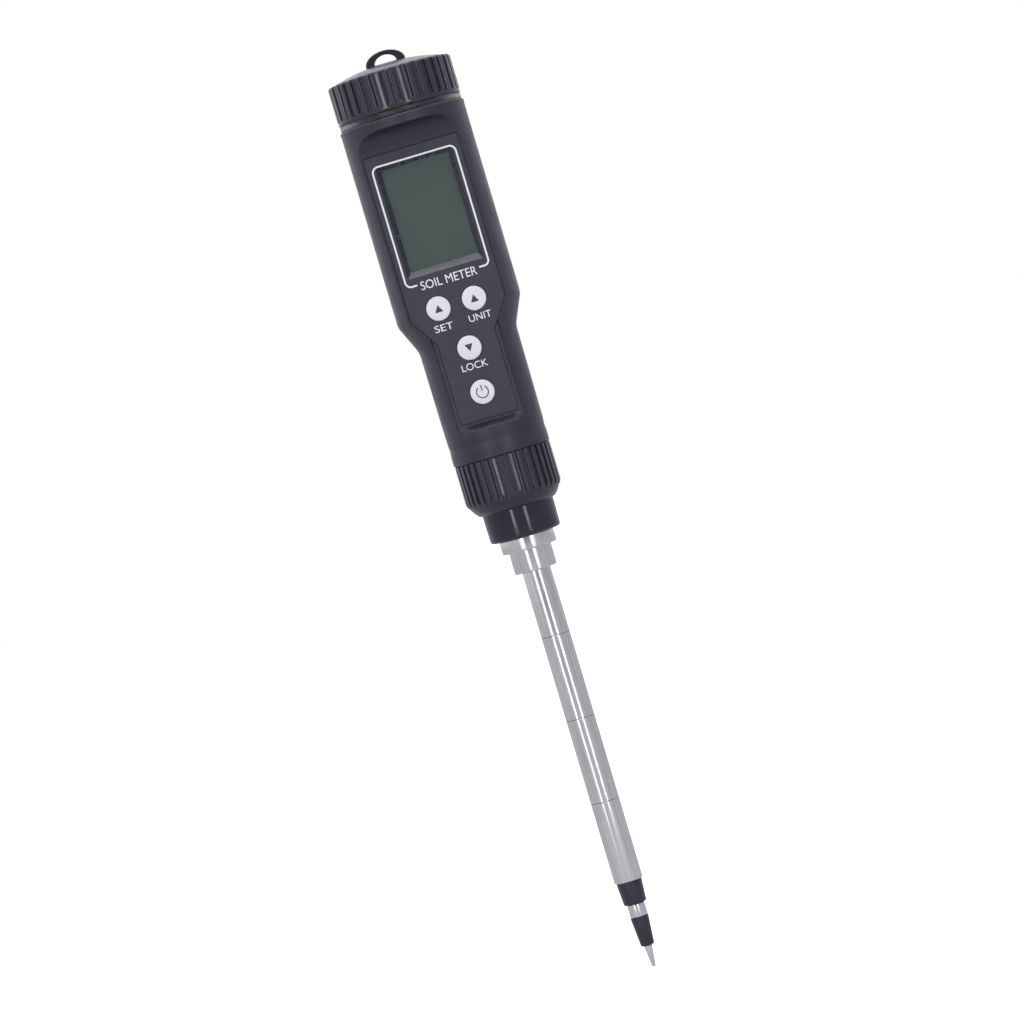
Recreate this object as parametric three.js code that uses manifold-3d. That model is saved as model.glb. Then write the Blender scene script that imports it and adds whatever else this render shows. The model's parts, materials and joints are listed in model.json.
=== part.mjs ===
// Pen-shaped soil meter: a handle with a display and keys above a steel probe.
// Millimetres. The axis of the meter is Z, the probe's point is at the origin and the display faces -Y.

import * as THREE from 'three';
import { mergeVertices } from 'three/addons/utils/BufferGeometryUtils.js';
import Module from 'manifold-3d';

const wasm = await Module();
wasm.setup();

// ---- Driving dimensions ----

const TURN = 2 * Math.PI;
const SIDES = 36;            // sides of handle, cap and collar
const MID_SIDES = 24;        // sides of sleeve, flange and plug
const SLIM_SIDES = 20;       // sides of the tube and what it holds
const SMALL_SIDES = 10;      // sides of pins and small holes

const GAP = 0.1;             // between pieces that rest on each other
const CLEARANCE = 0.3;       // between pieces that slide past each other

// Levels along the axis, measured up from the point of the probe.
const LEVEL = {
  tipTop: 6.3,
  lowerInsulatorTop: 15.2,
  ringTop: 19.0,
  tubeBottom: 25.9,
  flangeBottom: 119.6,
  flangeStep: 126.0,
  sleeveBottom: 129.9,
  tubeTop: 135.0,
  collarBottom: 138.5,
  collarChamferTop: 142.4,
  lipTop: 141.1,
  sleeveTop: 143.3,
  lowerNeckBottom: 145.2,
  collarTop: 154.1,
  housingBottom: 154.4,
  facetBottom: 161.0,
  taperBottom: 188.8,
  taperTop: 197.4,
  facetTop: 245.5,
  shoulder: 255.4,
  capBottom: 257.1,
  upperNeckTop: 265.0,
  capCeiling: 266.5,
  capEdge: 268.6,
  capTop: 271.2,
};

// Radii of the turned pieces.
const RADIUS = {
  tube: 4.25,
  tubeBore: 3.55,
  flangeStep: 6.3,
  flange: 8.1,
  sleeve: 10.65,
  sleeveRim: 11.9,
  lowerNeck: 11.5,
  lowerNeckBore: 9.9,
  collarLip: 10.95,
  collarRidge: 14.15,
  lowerBody: 14.5,
  lowerCavity: 12.2,
  upperNeck: 14.75,
  upperNeckBore: 13.4,
  upperBody: 18.325,
  upperCavity: 16.0,
  capRidge: 18.2,
};

// Both screw joints use the same V thread.
const THREAD = {
  pitch: 2.5,
  section: 0.65,
  gap: 0.95,
  turns: 1.5,
  stepsPerTurn: 18,
  lowerStart: 147.2,
  upperStart: 258.8,
};
const RIDGE = { count: 36, depth: 0.65, crestShare: 0.42, rootShare: 0.38 };

// Depths of the front: the flat facet, the seat of the label and the inside of the front wall.
const FRONT = { facet: -10.8, seat: -10.2, inside: -8.7, scoop: 7.0 };

const LABEL = {
  top: 246.0,
  bottom: 165.5,
  wideHalf: 14.05,
  slimHalf: 8.45,
  wideBottom: 197.6,
  slimTop: 189.5,
  thick: 0.25,
};

// The window's opening in the label, and the smaller opening at the back of the front wall.
const WINDOW = {
  halfWidth: 11.25,
  bottom: 209.6,
  top: 242.5,
  paneHalfWidth: 10.05,
  paneBottom: 211.8,
  paneTop: 241.6,
};

const KEY = { radius: 3.5, flange: 4.2, front: -11.0, flangeFront: -8.5, back: -7.7, hole: 3.7 };
const KEYS = [
  { name: 'cal', x: -5.3, z: 199.3 },
  { name: 'unit', x: 5.3, z: 199.3 },
  { name: 'hold', x: 0, z: 186.1 },
  { name: 'power', x: 0, z: 173.0 },
];

const BOARD = {
  front: -3.0,
  back: -1.4,
  wideHalf: 12.4,
  slimHalf: 8.6,
  top: 246.5,
  wideBottom: 199,
  slimTop: 190,
  bottom: 167,
};
const SWITCH = { half: 3, front: -6.6, plunger: 1.6, plungerFront: -7.3 };

const DISPLAY = {
  halfWidth: 11.5,
  bottom: 210.0,
  top: 243.4,
  paneFront: -8.6,
  glassFront: -7.6,
  glassBack: -5.7,
};
const LIGHT_GUIDE = { half: 10.5, bottom: 213, top: 243, back: -4.4 };
const CONNECTOR = { half: 10.5, bottom: 210.3, top: 212.3 };
const FRAME = {
  halfWidth: 12.7,
  bottom: 207.2,
  top: 246.2,
  front: -8.5,
  holeHalf: 11.7,
  holeBottom: 209.8,
  holeTop: 243.6,
};
const SCREW = { x: 9.5, radius: 0.7, hole: 0.9, head: 1.3, headHeight: 0.8, end: -5.8, holeEnd: -6 };

const CELL = { radius: 5.8, height: 5.4, x: 6.45, bottom: 254.9, wellRadius: 6.0, wellBottom: 252.6 };
const TERMINAL = { radius: 5.5, thick: 0.3, tabHalf: 1.2, slotHalf: 1.5, tabFront: -1.25, tabBack: -0.75 };
const SPRING = { wire: 0.3, footRadius: 4.6, topRadius: 2.6, rise: 1.05, turns: 2.5 };
const LOOP = { halfWidth: 5.8, rise: 3.6, innerHalf: 3.2, innerRise: 2.4, halfDepth: 1.5, leg: 1.4 };

// Plug and socket heights are counted from the top of the probe's sleeve.
const PIN = { radius: 0.6, circle: 4.0, bottom: 140.4, top: 157.5 };
const PLUG = { foot: 7.9, footDepth: 2.2, edge: 7.6, top: 8.4, play: 0.4 };
const SOCKET = { bottom: 8.9, hole: 1.0 };
const SLEEVE = { bore: 8.2, floor: 139.0 };
const FACE_SEAL = { radius: 10.75, section: 0.85, steps: 6 };

const LEAD = { radius: 0.45, thin: 0.3, circle: 2.4 };
const THERMISTOR = { x: 1.6, radius: 0.9, bottom: 33, top: 37, leadHalf: 0.75 };
const RING = { inner: 2.0, outer: 2.6 };
const TIP = { point: 0.45, round: 0.15, shoulder: 1.2, stem: 0.9, stemTop: 14.0 };

const SCOOP_TOP = LEVEL.facetTop + FRONT.scoop;
const CAP_BORE = RADIUS.upperNeck + THREAD.gap;
const TUBE_HOLE = RADIUS.tube + 0.15;

// ---- Finishes ----

function finish(color, roughness, metalness = 0) {
  return new THREE.MeshStandardMaterial({ color, roughness, metalness });
}

const FINISH = {
  housing: finish(0x24242b, 0.55),
  gloss: finish(0x17181d, 0.2),
  cap: finish(0x1f2027, 0.4),
  label: finish(0x2f2f36, 0.7),
  key: finish(0xc9ccd6, 0.5),
  seal: finish(0xb9bcc0, 0.35),
  steel: finish(0xb4b3b8, 0.3, 1),
  nickel: finish(0xc6c6c8, 0.25, 1),
  brass: finish(0xc9a24a, 0.3, 1),
  pane: finish(0xdfe8e4, 0.05),
  display: finish(0x55665f, 0.3),
  guide: finish(0xe6e9ec, 0.3),
  board: finish(0x1e5b3a, 0.5),
  chip: finish(0x18181a, 0.6),
  rubber: finish(0x2a2a2c, 0.8),
  frame: finish(0xdadada, 0.6),
  lead: finish(0xa03028, 0.6),
};

// ---- Building blocks ----

// A turned piece: the profile lists [radius, height] pairs around its section.
function turned(profile, sides = SIDES) {
  const points = profile.map(([radius, height]) => new THREE.Vector2(radius, height));
  return new THREE.LatheGeometry(points, sides).rotateX(Math.PI / 2);
}

function tube(inner, outer, bottom, top, sides = SIDES) {
  return turned([[inner, bottom], [outer, bottom], [outer, top], [inner, top], [inner, bottom]], sides);
}

function rod(radius, bottom, top, sides = SMALL_SIDES) {
  return turned([[0, bottom], [radius, bottom], [radius, top], [0, top]], sides);
}

// A block between two opposite corners.
function block(low, high) {
  const size = high.map((value, i) => value - low[i]);
  const middle = high.map((value, i) => (value + low[i]) / 2);
  return new THREE.BoxGeometry(...size).translate(...middle);
}

// A plate whose outline lies in X and Z, from the depth front to the depth back.
function plate(outline, front, back, curveSegments = 4) {
  const settings = { depth: back - front, bevelEnabled: false, curveSegments };
  return new THREE.ExtrudeGeometry(outline, settings).rotateX(Math.PI / 2).translate(0, back, 0);
}

// A round rod along Y, centred on x and z.
function crossRod(radius, x, z, front, back, sides = SMALL_SIDES) {
  const outline = new THREE.Shape().absarc(x, z, radius, 0, TURN);
  return plate(outline, front, back, sides / 2);
}

function toSolid(geometry) {
  geometry.deleteAttribute('normal');
  geometry.deleteAttribute('uv');
  const merged = mergeVertices(geometry, 1e-4);
  const vertProperties = merged.attributes.position.array;
  const triVerts = merged.index.array;
  return new wasm.Manifold(new wasm.Mesh({ numProp: 3, vertProperties, triVerts }));
}

function toGeometry(solid) {
  const mesh = solid.getMesh();
  const geometry = new THREE.BufferGeometry();
  geometry.setAttribute('position', new THREE.BufferAttribute(mesh.vertProperties, 3));
  geometry.setIndex(new THREE.BufferAttribute(mesh.triVerts, 1));
  geometry.computeVertexNormals();
  return geometry;
}

function join(solid, ...geometries) {
  return geometries.reduce((sum, geometry) => sum.add(toSolid(geometry)), solid);
}

function cut(solid, ...geometries) {
  return geometries.reduce((rest, geometry) => rest.subtract(toSolid(geometry)), solid);
}

function piece(name, geometry, material, position = [0, 0, 0]) {
  const mesh = new THREE.Mesh(geometry, material);
  mesh.name = name;
  mesh.position.set(...position);
  return mesh;
}

// A screw line whose radius may change evenly from its start to its end.
class Helix extends THREE.Curve {
  constructor(startRadius, endRadius, bottom, rise, turns) {
    super();
    Object.assign(this, { startRadius, endRadius, bottom, rise, turns });
  }

  getPoint(t, target = new THREE.Vector3()) {
    const angle = TURN * this.turns * t;
    const radius = THREE.MathUtils.lerp(this.startRadius, this.endRadius, t);
    return target.set(radius * Math.cos(angle), radius * Math.sin(angle), this.bottom + this.rise * t);
  }
}

// A wire along a curve, with twice as many sides as halfSides.
function wire(path, radius, steps, halfSides = 3) {
  const section = new THREE.Shape().absarc(0, 0, radius, 0, TURN);
  return new THREE.ExtrudeGeometry(section, { steps, curveSegments: halfSides, extrudePath: path });
}

// One right-hand V thread standing out of a wall of the given radius.
function thread(wallRadius, bottom) {
  const path = new Helix(wallRadius, wallRadius, bottom, THREAD.pitch * THREAD.turns, THREAD.turns);
  return wire(path, THREAD.section, THREAD.turns * THREAD.stepsPerTurn, 2);
}

// A disc with straight grip ridges around its edge.
function ridgedDisc(radius, bottom, top) {
  const step = TURN / RIDGE.count;
  const crest = (step * RIDGE.crestShare) / 2;
  const root = (step * (1 - RIDGE.rootShare)) / 2;
  const rootRadius = radius - RIDGE.depth;
  const corners = [[-root, rootRadius], [-crest, radius], [crest, radius], [root, rootRadius]];
  const points = [];
  for (let i = 0; i < RIDGE.count; i += 1) {
    for (const [offset, reach] of corners) {
      const angle = i * step + offset;
      points.push(new THREE.Vector2(reach * Math.cos(angle), reach * Math.sin(angle)));
    }
  }
  const settings = { depth: top - bottom, bevelEnabled: false };
  return new THREE.ExtrudeGeometry(new THREE.Shape(points), settings).translate(0, 0, bottom);
}

function rectangle(halfWidth, bottom, top) {
  const corners = [[-halfWidth, bottom], [halfWidth, bottom], [halfWidth, top], [-halfWidth, top]];
  return new THREE.Shape(corners.map(([x, z]) => new THREE.Vector2(x, z)));
}

// The shape shared by label, label seat and board: a wide upper part that narrows below.
function steppedOutline({ wideHalf, slimHalf, top, wideBottom, slimTop, bottom }, grow = 0) {
  const right = [
    [slimHalf + grow, bottom - grow],
    [slimHalf + grow, slimTop],
    [wideHalf + grow, wideBottom],
    [wideHalf + grow, top + grow],
  ];
  const left = right.map(([x, z]) => [-x, z]).reverse();
  return new THREE.Shape([...right, ...left].map(([x, z]) => new THREE.Vector2(x, z)));
}

// A block with sloping sides: the window's opening narrows from its front rim to the pane.
function windowFunnel() {
  const funnel = new THREE.BoxGeometry(2, 2, 2);
  const corner = funnel.attributes.position;
  const rim = { half: WINDOW.halfWidth, bottom: WINDOW.bottom, top: WINDOW.top };
  const floor = { half: WINDOW.paneHalfWidth, bottom: WINDOW.paneBottom, top: WINDOW.paneTop };
  for (let i = 0; i < corner.count; i += 1) {
    const ring = corner.getY(i) < 0 ? rim : floor;
    const depth = corner.getY(i) < 0 ? FRONT.seat : FRONT.inside;
    const height = corner.getZ(i) < 0 ? ring.bottom : ring.top;
    corner.setXYZ(i, Math.sign(corner.getX(i)) * ring.half, depth, height);
  }
  return funnel;
}

// ---- Handle ----

function housingShell() {
  const { lowerBody, upperBody, lowerNeck, upperNeck } = RADIUS;
  return toSolid(turned([
    [0, LEVEL.lowerNeckBottom],
    [lowerNeck, LEVEL.lowerNeckBottom],
    [lowerNeck, LEVEL.housingBottom],
    [lowerBody - 0.4, LEVEL.housingBottom],
    [lowerBody - 0.2, LEVEL.housingBottom + 0.6],
    [lowerBody - 0.2, LEVEL.housingBottom + 3],
    [lowerBody - 0.38, LEVEL.housingBottom + 4.8],
    [lowerBody - 0.2, LEVEL.housingBottom + 6.6],
    [lowerBody, LEVEL.taperBottom],
    [upperBody, LEVEL.taperTop],
    [upperBody, LEVEL.shoulder - 1.4],
    [upperBody + 0.125, LEVEL.shoulder - 0.5],
    [upperBody - 0.225, LEVEL.shoulder],
    [upperNeck, LEVEL.shoulder],
    [upperNeck, LEVEL.upperNeckTop],
    [0, LEVEL.upperNeckTop],
  ]));
}

// The hollow: two necks, the slim lower part and the wide upper part, with a flat front wall.
function housingCavity() {
  const { lowerCavity, upperCavity, lowerNeckBore, upperNeckBore } = RADIUS;
  const beyond = 1;
  const hollow = toSolid(turned([
    [0, LEVEL.lowerNeckBottom - beyond],
    [lowerNeckBore, LEVEL.lowerNeckBottom - beyond],
    [lowerNeckBore, LEVEL.facetBottom],
    [lowerCavity, LEVEL.facetBottom + 3],
    [lowerCavity, LEVEL.taperBottom + 0.8],
    [upperCavity, LEVEL.taperTop + 0.9],
    [upperCavity, LEVEL.shoulder - 3],
    [upperNeckBore, LEVEL.shoulder - 1.4],
    [upperNeckBore, LEVEL.upperNeckTop + beyond],
    [0, LEVEL.upperNeckTop + beyond],
  ]));
  const reach = RADIUS.upperBody + beyond;
  return cut(hollow, block([-reach, -reach, LEVEL.facetBottom], [reach, FRONT.inside, SCOOP_TOP]));
}

// Turns a side view, drawn with Y and Z as its two directions, to face along X.
const sideToWorld = new THREE.Matrix4().makeBasis(
  new THREE.Vector3(0, 1, 0),
  new THREE.Vector3(0, 0, 1),
  new THREE.Vector3(1, 0, 0),
);

// The recess of the front: flat, with a rounded run-out at the top and a sloping one at the bottom.
function facetCutter() {
  const reach = RADIUS.upperBody + 3;
  const rise = FRONT.scoop;
  const start = RADIUS.lowerBody + FRONT.facet;
  const side = new THREE.Shape();
  side.moveTo(-reach, LEVEL.facetBottom - reach + RADIUS.lowerBody);
  side.lineTo(-RADIUS.lowerBody, LEVEL.facetBottom);
  side.lineTo(FRONT.facet, LEVEL.facetBottom + start);
  side.lineTo(FRONT.facet, LEVEL.facetTop);
  side.absarc(FRONT.facet - rise, LEVEL.facetTop, rise, 0, Math.PI / 2, false);
  side.lineTo(-reach, SCOOP_TOP);
  const settings = { depth: 2 * reach, bevelEnabled: false, curveSegments: 6 };
  return new THREE.ExtrudeGeometry(side, settings).translate(0, 0, -reach).applyMatrix4(sideToWorld);
}

// Rails inside the walls that the back of the board rests on.
function boardRails() {
  const railFront = BOARD.back + GAP;
  const railBack = BOARD.back + 1.6;
  const intoWall = 0.8;
  const spans = [
    { inner: 11.8, outer: RADIUS.upperCavity + intoWall, bottom: 200, top: 244 },
    { inner: 8.0, outer: RADIUS.lowerCavity + intoWall, bottom: 169, top: 187 },
  ];
  return spans.flatMap(({ inner, outer, bottom, top }) => [
    block([inner, railFront, bottom], [outer, railBack, top]),
    block([-outer, railFront, bottom], [-inner, railBack, top]),
  ]);
}

function keyHoleRods(front, back) {
  return KEYS.map(({ x, z }) => crossRod(KEY.hole, x, z, front, back, MID_SIDES));
}

function housing() {
  const turnedShell = join(
    housingShell(),
    thread(RADIUS.lowerNeck, THREAD.lowerStart),
    thread(RADIUS.upperNeck, THREAD.upperStart),
  );
  const labelSeat = plate(steppedOutline(LABEL, GAP), FRONT.seat - 2, FRONT.seat);
  const fronted = cut(turnedShell, facetCutter(), labelSeat);
  const hollowed = join(fronted.subtract(housingCavity()), ...boardRails());
  const keyHoles = keyHoleRods(FRONT.facet - 1, FRONT.inside + 1);
  return toGeometry(cut(hollowed, windowFunnel(), ...keyHoles));
}

function faceplateLabel() {
  const front = FRONT.seat - GAP / 2 - LABEL.thick;
  const sheet = toSolid(plate(steppedOutline(LABEL), front, front + LABEL.thick));
  const window = plate(rectangle(WINDOW.halfWidth, WINDOW.bottom, WINDOW.top), front - 1, front + 1);
  return toGeometry(cut(sheet, window, ...keyHoleRods(front - 1, front + 1)));
}

function keyButton({ x, z }) {
  const stem = toSolid(crossRod(KEY.radius, x, z, KEY.front, KEY.flangeFront + GAP, MID_SIDES));
  return toGeometry(join(stem, crossRod(KEY.flange, x, z, KEY.flangeFront, KEY.back, MID_SIDES)));
}

function pushSwitch({ x, z }) {
  const { half, front, plunger, plungerFront } = SWITCH;
  const base = toSolid(block([x - half, front, z - half], [x + half, BOARD.front - GAP, z + half]));
  return toGeometry(join(base, crossRod(plunger, x, z, plungerFront, front + 0.2)));
}

// ---- Display and board ----

function displayFrame() {
  const { halfWidth, bottom, top, front, holeHalf, holeBottom, holeTop } = FRAME;
  const outer = toSolid(plate(rectangle(halfWidth, bottom, top), front, BOARD.front - GAP));
  const hole = plate(rectangle(holeHalf, holeBottom, holeTop), front - 1, BOARD.front + 1);
  return toGeometry(cut(outer, hole, ...screwHoles(SCREW.holeEnd, BOARD.front + 1)));
}

function displayScrewPlaces() {
  const zs = [(FRAME.bottom + FRAME.holeBottom) / 2, (FRAME.top + FRAME.holeTop) / 2];
  return zs.flatMap((z) => [-SCREW.x, SCREW.x].map((x) => [x, z]));
}

function screwHoles(front, back) {
  return displayScrewPlaces().map(([x, z]) => crossRod(SCREW.hole, x, z, front, back));
}

function displayScrew([x, z]) {
  const { radius, head, headHeight, end } = SCREW;
  const shank = toSolid(crossRod(radius, x, z, end, BOARD.back + 0.2));
  return toGeometry(join(shank, crossRod(head, x, z, BOARD.back + GAP, BOARD.back + headHeight)));
}

function circuitBoard() {
  const board = toSolid(plate(steppedOutline(BOARD), BOARD.front, BOARD.back));
  return toGeometry(cut(board, ...screwHoles(BOARD.front - 1, BOARD.back + 1)));
}

function displayPieces() {
  const { halfWidth, bottom, top, paneFront, glassFront, glassBack } = DISPLAY;
  const onBoard = BOARD.front - GAP;
  const behindBoard = BOARD.back + GAP;
  const behindGlass = glassBack + GAP;
  const guide = LIGHT_GUIDE;
  const strip = CONNECTOR;
  const screws = displayScrewPlaces();
  return [
    piece('window_pane', plate(rectangle(halfWidth, bottom, top), paneFront, glassFront - GAP), FINISH.pane),
    piece('display_glass', plate(rectangle(halfWidth, bottom, top), glassFront, glassBack), FINISH.display),
    piece(
      'light_guide',
      block([-guide.half, behindGlass, guide.bottom], [guide.half, guide.back, guide.top]),
      FINISH.guide,
    ),
    piece(
      'connector_strip',
      block([-strip.half, behindGlass, strip.bottom], [strip.half, onBoard, strip.top]),
      FINISH.rubber,
    ),
    piece('display_frame', displayFrame(), FINISH.frame),
    ...screws.map((place, i) => piece(`display_screw_${i + 1}`, displayScrew(place), FINISH.nickel)),
    piece('circuit_board', circuitBoard(), FINISH.board),
    piece('processor_chip', block([-4, behindBoard, 214], [4, 0, 222]), FINISH.chip),
    piece('amplifier_chip', block([-2.5, behindBoard, 178], [2.5, 0.2, 182]), FINISH.chip),
    piece('clock_crystal', block([5.5, behindBoard, 215], [7.7, 0.4, 221]), FINISH.nickel),
    piece('socket_ribbon', block([-3, behindBoard, 160.7], [3, behindBoard + 0.4, 171]), FINISH.frame),
  ];
}

// ---- Batteries and cap ----

// A slot in the foot of a well that lets the contact's tab through.
function tabSlot(x) {
  const { slotHalf, tabFront, tabBack } = TERMINAL;
  const low = [x - slotHalf, tabFront - 0.25, CELL.wellBottom - 3];
  return block(low, [x + slotHalf, tabBack + 0.25, CELL.wellBottom + 1]);
}

function batteryCarrier() {
  const body = toSolid(turned([
    [0, CELL.wellBottom - 2],
    [RADIUS.upperNeckBore - CLEARANCE, CELL.wellBottom - 2],
    [RADIUS.upperNeckBore - CLEARANCE, LEVEL.upperNeckTop + GAP],
    [RADIUS.upperNeck - 0.2, LEVEL.upperNeckTop + GAP],
    [RADIUS.upperNeck - 0.2, LEVEL.upperNeckTop + 0.7],
    [0, LEVEL.upperNeckTop + 0.7],
  ]));
  const wells = [-1, 1].flatMap((side) => [
    rod(CELL.wellRadius, CELL.wellBottom, LEVEL.upperNeckTop + 2, SLIM_SIDES).translate(side * CELL.x, 0, 0),
    tabSlot(side * CELL.x),
  ]);
  const reach = RADIUS.upperBody;
  const clearOfFront = block(
    [-reach, -reach, CELL.wellBottom - 4],
    [reach, FRONT.inside + CLEARANCE, SCOOP_TOP + CLEARANCE],
  );
  return toGeometry(cut(body, clearOfFront, ...wells));
}

// A contact disc at the foot of a well, with a tab that runs down behind the board.
function batteryTerminal() {
  const { radius, thick, tabHalf, tabFront, tabBack } = TERMINAL;
  const bottom = CELL.wellBottom + GAP;
  const disc = toSolid(rod(radius, bottom, bottom + thick, SLIM_SIDES));
  const tab = block([-tabHalf, tabFront, LEVEL.facetTop - 2.5], [tabHalf, tabBack, bottom + thick - GAP]);
  return toGeometry(join(disc, tab));
}

function batterySpring() {
  const { footRadius, topRadius, rise, turns } = SPRING;
  const foot = CELL.wellBottom + GAP + TERMINAL.thick + SPRING.wire + 0.15;
  return wire(new Helix(footRadius, topRadius, foot, rise, turns), SPRING.wire, 30);
}

function batteryPieces() {
  const pieces = [piece('battery_carrier', batteryCarrier(), FINISH.housing)];
  for (const [index, side] of [-1, 1].entries()) {
    const place = [side * CELL.x, 0, 0];
    pieces.push(piece(`battery_terminal_${index + 1}`, batteryTerminal(), FINISH.nickel, place));
    pieces.push(piece(`battery_spring_${index + 1}`, batterySpring(), FINISH.nickel, place));
    for (const layer of [0, 1]) {
      const bottom = CELL.bottom + layer * (CELL.height + GAP / 2);
      const cell = rod(CELL.radius, bottom, bottom + CELL.height, SLIM_SIDES);
      pieces.push(piece(`button_cell_${2 * index + layer + 1}`, cell, FINISH.nickel, place));
    }
  }
  return pieces;
}

// The cap's slightly domed top, from its edge to the middle.
function domeProfile(edgeRadius, steps) {
  const rise = LEVEL.capTop - LEVEL.capEdge;
  const sphere = (edgeRadius ** 2 + rise ** 2) / (2 * rise);
  const profile = [];
  for (let i = 0; i <= steps; i += 1) {
    const radius = edgeRadius * (1 - i / steps);
    profile.push([radius, LEVEL.capTop - sphere + Math.sqrt(sphere ** 2 - radius ** 2)]);
  }
  return profile;
}

function batteryCap() {
  const { capRidge } = RADIUS;
  const ridgesBottom = LEVEL.capBottom + 1;
  const rim = rod(capRidge - 0.05, LEVEL.capBottom, ridgesBottom + GAP, SIDES);
  const dome = turned([[0, LEVEL.capEdge - 1], ...domeProfile(capRidge - RIDGE.depth - 0.5, 4)]);
  const body = join(toSolid(ridgedDisc(capRidge, ridgesBottom, LEVEL.capEdge)), rim, dome);
  const hollow = cut(body, rod(CAP_BORE, LEVEL.capBottom - 1, LEVEL.capCeiling, SIDES), ...loopLegs(GAP));
  return toGeometry(join(hollow, thread(CAP_BORE, THREAD.upperStart + THREAD.pitch / 2)));
}

function loopLegs(grow) {
  const { halfWidth, innerHalf, halfDepth, leg } = LOOP;
  return [-1, 1].map((side) => {
    const xs = [side * (innerHalf + 0.3), side * (halfWidth - 0.3)].sort((a, b) => a - b);
    const low = [xs[0] - grow, -halfDepth - grow, LEVEL.capTop - leg - grow];
    return block(low, [xs[1] + grow, halfDepth + grow, LEVEL.capTop + 0.5]);
  });
}

function lanyardLoop() {
  const { halfWidth, rise, innerHalf, innerRise, halfDepth } = LOOP;
  const base = LEVEL.capTop + GAP / 2;
  const arch = new THREE.Shape();
  arch.absellipse(0, base, halfWidth, rise - GAP / 2, 0, Math.PI, false);
  arch.lineTo(-innerHalf, base);
  arch.absellipse(0, base, innerHalf, innerRise, Math.PI, 0, true);
  const band = toSolid(plate(arch, -halfDepth, halfDepth, 10));
  return toGeometry(join(band, ...loopLegs(0)));
}

function capPieces() {
  const sealBottom = LEVEL.shoulder + GAP;
  const sealBore = RADIUS.upperNeck + THREAD.gap;
  const seal = tube(sealBore, RADIUS.upperBody - 0.375, sealBottom, LEVEL.capBottom - GAP);
  const contact = rod(RADIUS.upperNeck - 0.75, LEVEL.capCeiling - 0.55, LEVEL.capCeiling - GAP, SLIM_SIDES);
  return [
    piece('cap_seal_ring', seal, FINISH.seal),
    piece('battery_cap', batteryCap(), FINISH.cap),
    piece('cap_contact_plate', contact, FINISH.nickel),
    piece('lanyard_loop', lanyardLoop(), FINISH.gloss),
  ];
}

// ---- Union collar, plug and socket ----

function pinPlaces() {
  return [0, 1, 2, 3].map((i) => {
    const angle = TURN * (i / 4 + 1 / 8);
    return [PIN.circle * Math.cos(angle), PIN.circle * Math.sin(angle)];
  });
}

function collarNut() {
  const { collarRidge, collarLip, lowerNeck } = RADIUS;
  const bore = lowerNeck + THREAD.gap;
  const chamfer = turned([
    [0, LEVEL.collarBottom],
    [collarLip + 0.1, LEVEL.collarBottom],
    [collarRidge - RIDGE.depth - 0.1, LEVEL.collarChamferTop - 0.5],
    [collarRidge - RIDGE.depth - 0.1, LEVEL.collarChamferTop + GAP],
    [0, LEVEL.collarChamferTop + GAP],
  ]);
  const body = join(toSolid(ridgedDisc(collarRidge, LEVEL.collarChamferTop, LEVEL.collarTop)), chamfer);
  const lipHole = rod(collarLip, LEVEL.collarBottom - 1, LEVEL.lipTop + 1, SIDES);
  const hollow = cut(body, lipHole, rod(bore, LEVEL.lipTop, LEVEL.collarTop + 1, SIDES));
  return toGeometry(join(hollow, thread(bore, THREAD.lowerStart - THREAD.pitch / 2)));
}

function probeSleeve() {
  const foot = RADIUS.sleeve - 0.2;
  return turned([
    [TUBE_HOLE, LEVEL.sleeveBottom],
    [foot - 1, LEVEL.sleeveBottom],
    [foot - 0.3, LEVEL.sleeveBottom + 0.3],
    [foot, LEVEL.sleeveBottom + 1],
    [RADIUS.sleeve, LEVEL.lipTop + 0.2],
    [RADIUS.sleeveRim, LEVEL.lipTop + 0.2],
    [RADIUS.sleeveRim, LEVEL.sleeveTop],
    [SLEEVE.bore, LEVEL.sleeveTop],
    [SLEEVE.bore, SLEEVE.floor],
    [TUBE_HOLE, SLEEVE.floor],
    [TUBE_HOLE, LEVEL.sleeveBottom],
  ], MID_SIDES);
}

function probePlug() {
  const { foot, footDepth, edge, top, play } = PLUG;
  const body = toSolid(turned([
    [0, LEVEL.sleeveTop - footDepth],
    [foot, LEVEL.sleeveTop - footDepth],
    [foot, LEVEL.sleeveTop + GAP],
    [RADIUS.lowerNeckBore - play, LEVEL.sleeveTop + GAP],
    [RADIUS.lowerNeckBore - play, LEVEL.sleeveTop + edge],
    [RADIUS.lowerNeckBore - play - top + edge, LEVEL.sleeveTop + top],
    [0, LEVEL.sleeveTop + top],
  ], SLIM_SIDES));
  const holes = pinPlaces().map(([x, y]) => rod(PIN.radius + 0.15, 130, 160).translate(x, y, 0));
  return toGeometry(cut(body, ...holes));
}

function contactPin() {
  return turned([
    [0, PIN.bottom],
    [PIN.radius, PIN.bottom],
    [PIN.radius, PIN.top - 0.5],
    [PIN.radius / 2, PIN.top],
    [0, PIN.top],
  ], SMALL_SIDES);
}

function probeSocket() {
  const bottom = LEVEL.sleeveTop + SOCKET.bottom;
  const body = toSolid(rod(RADIUS.lowerNeckBore - CLEARANCE, bottom, LEVEL.facetBottom - 0.5, SLIM_SIDES));
  const holes = pinPlaces().map(([x, y]) => rod(SOCKET.hole, bottom - 1, PIN.top + 1).translate(x, y, 0));
  return toGeometry(cut(body, ...holes));
}

// ---- Probe ----

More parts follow.
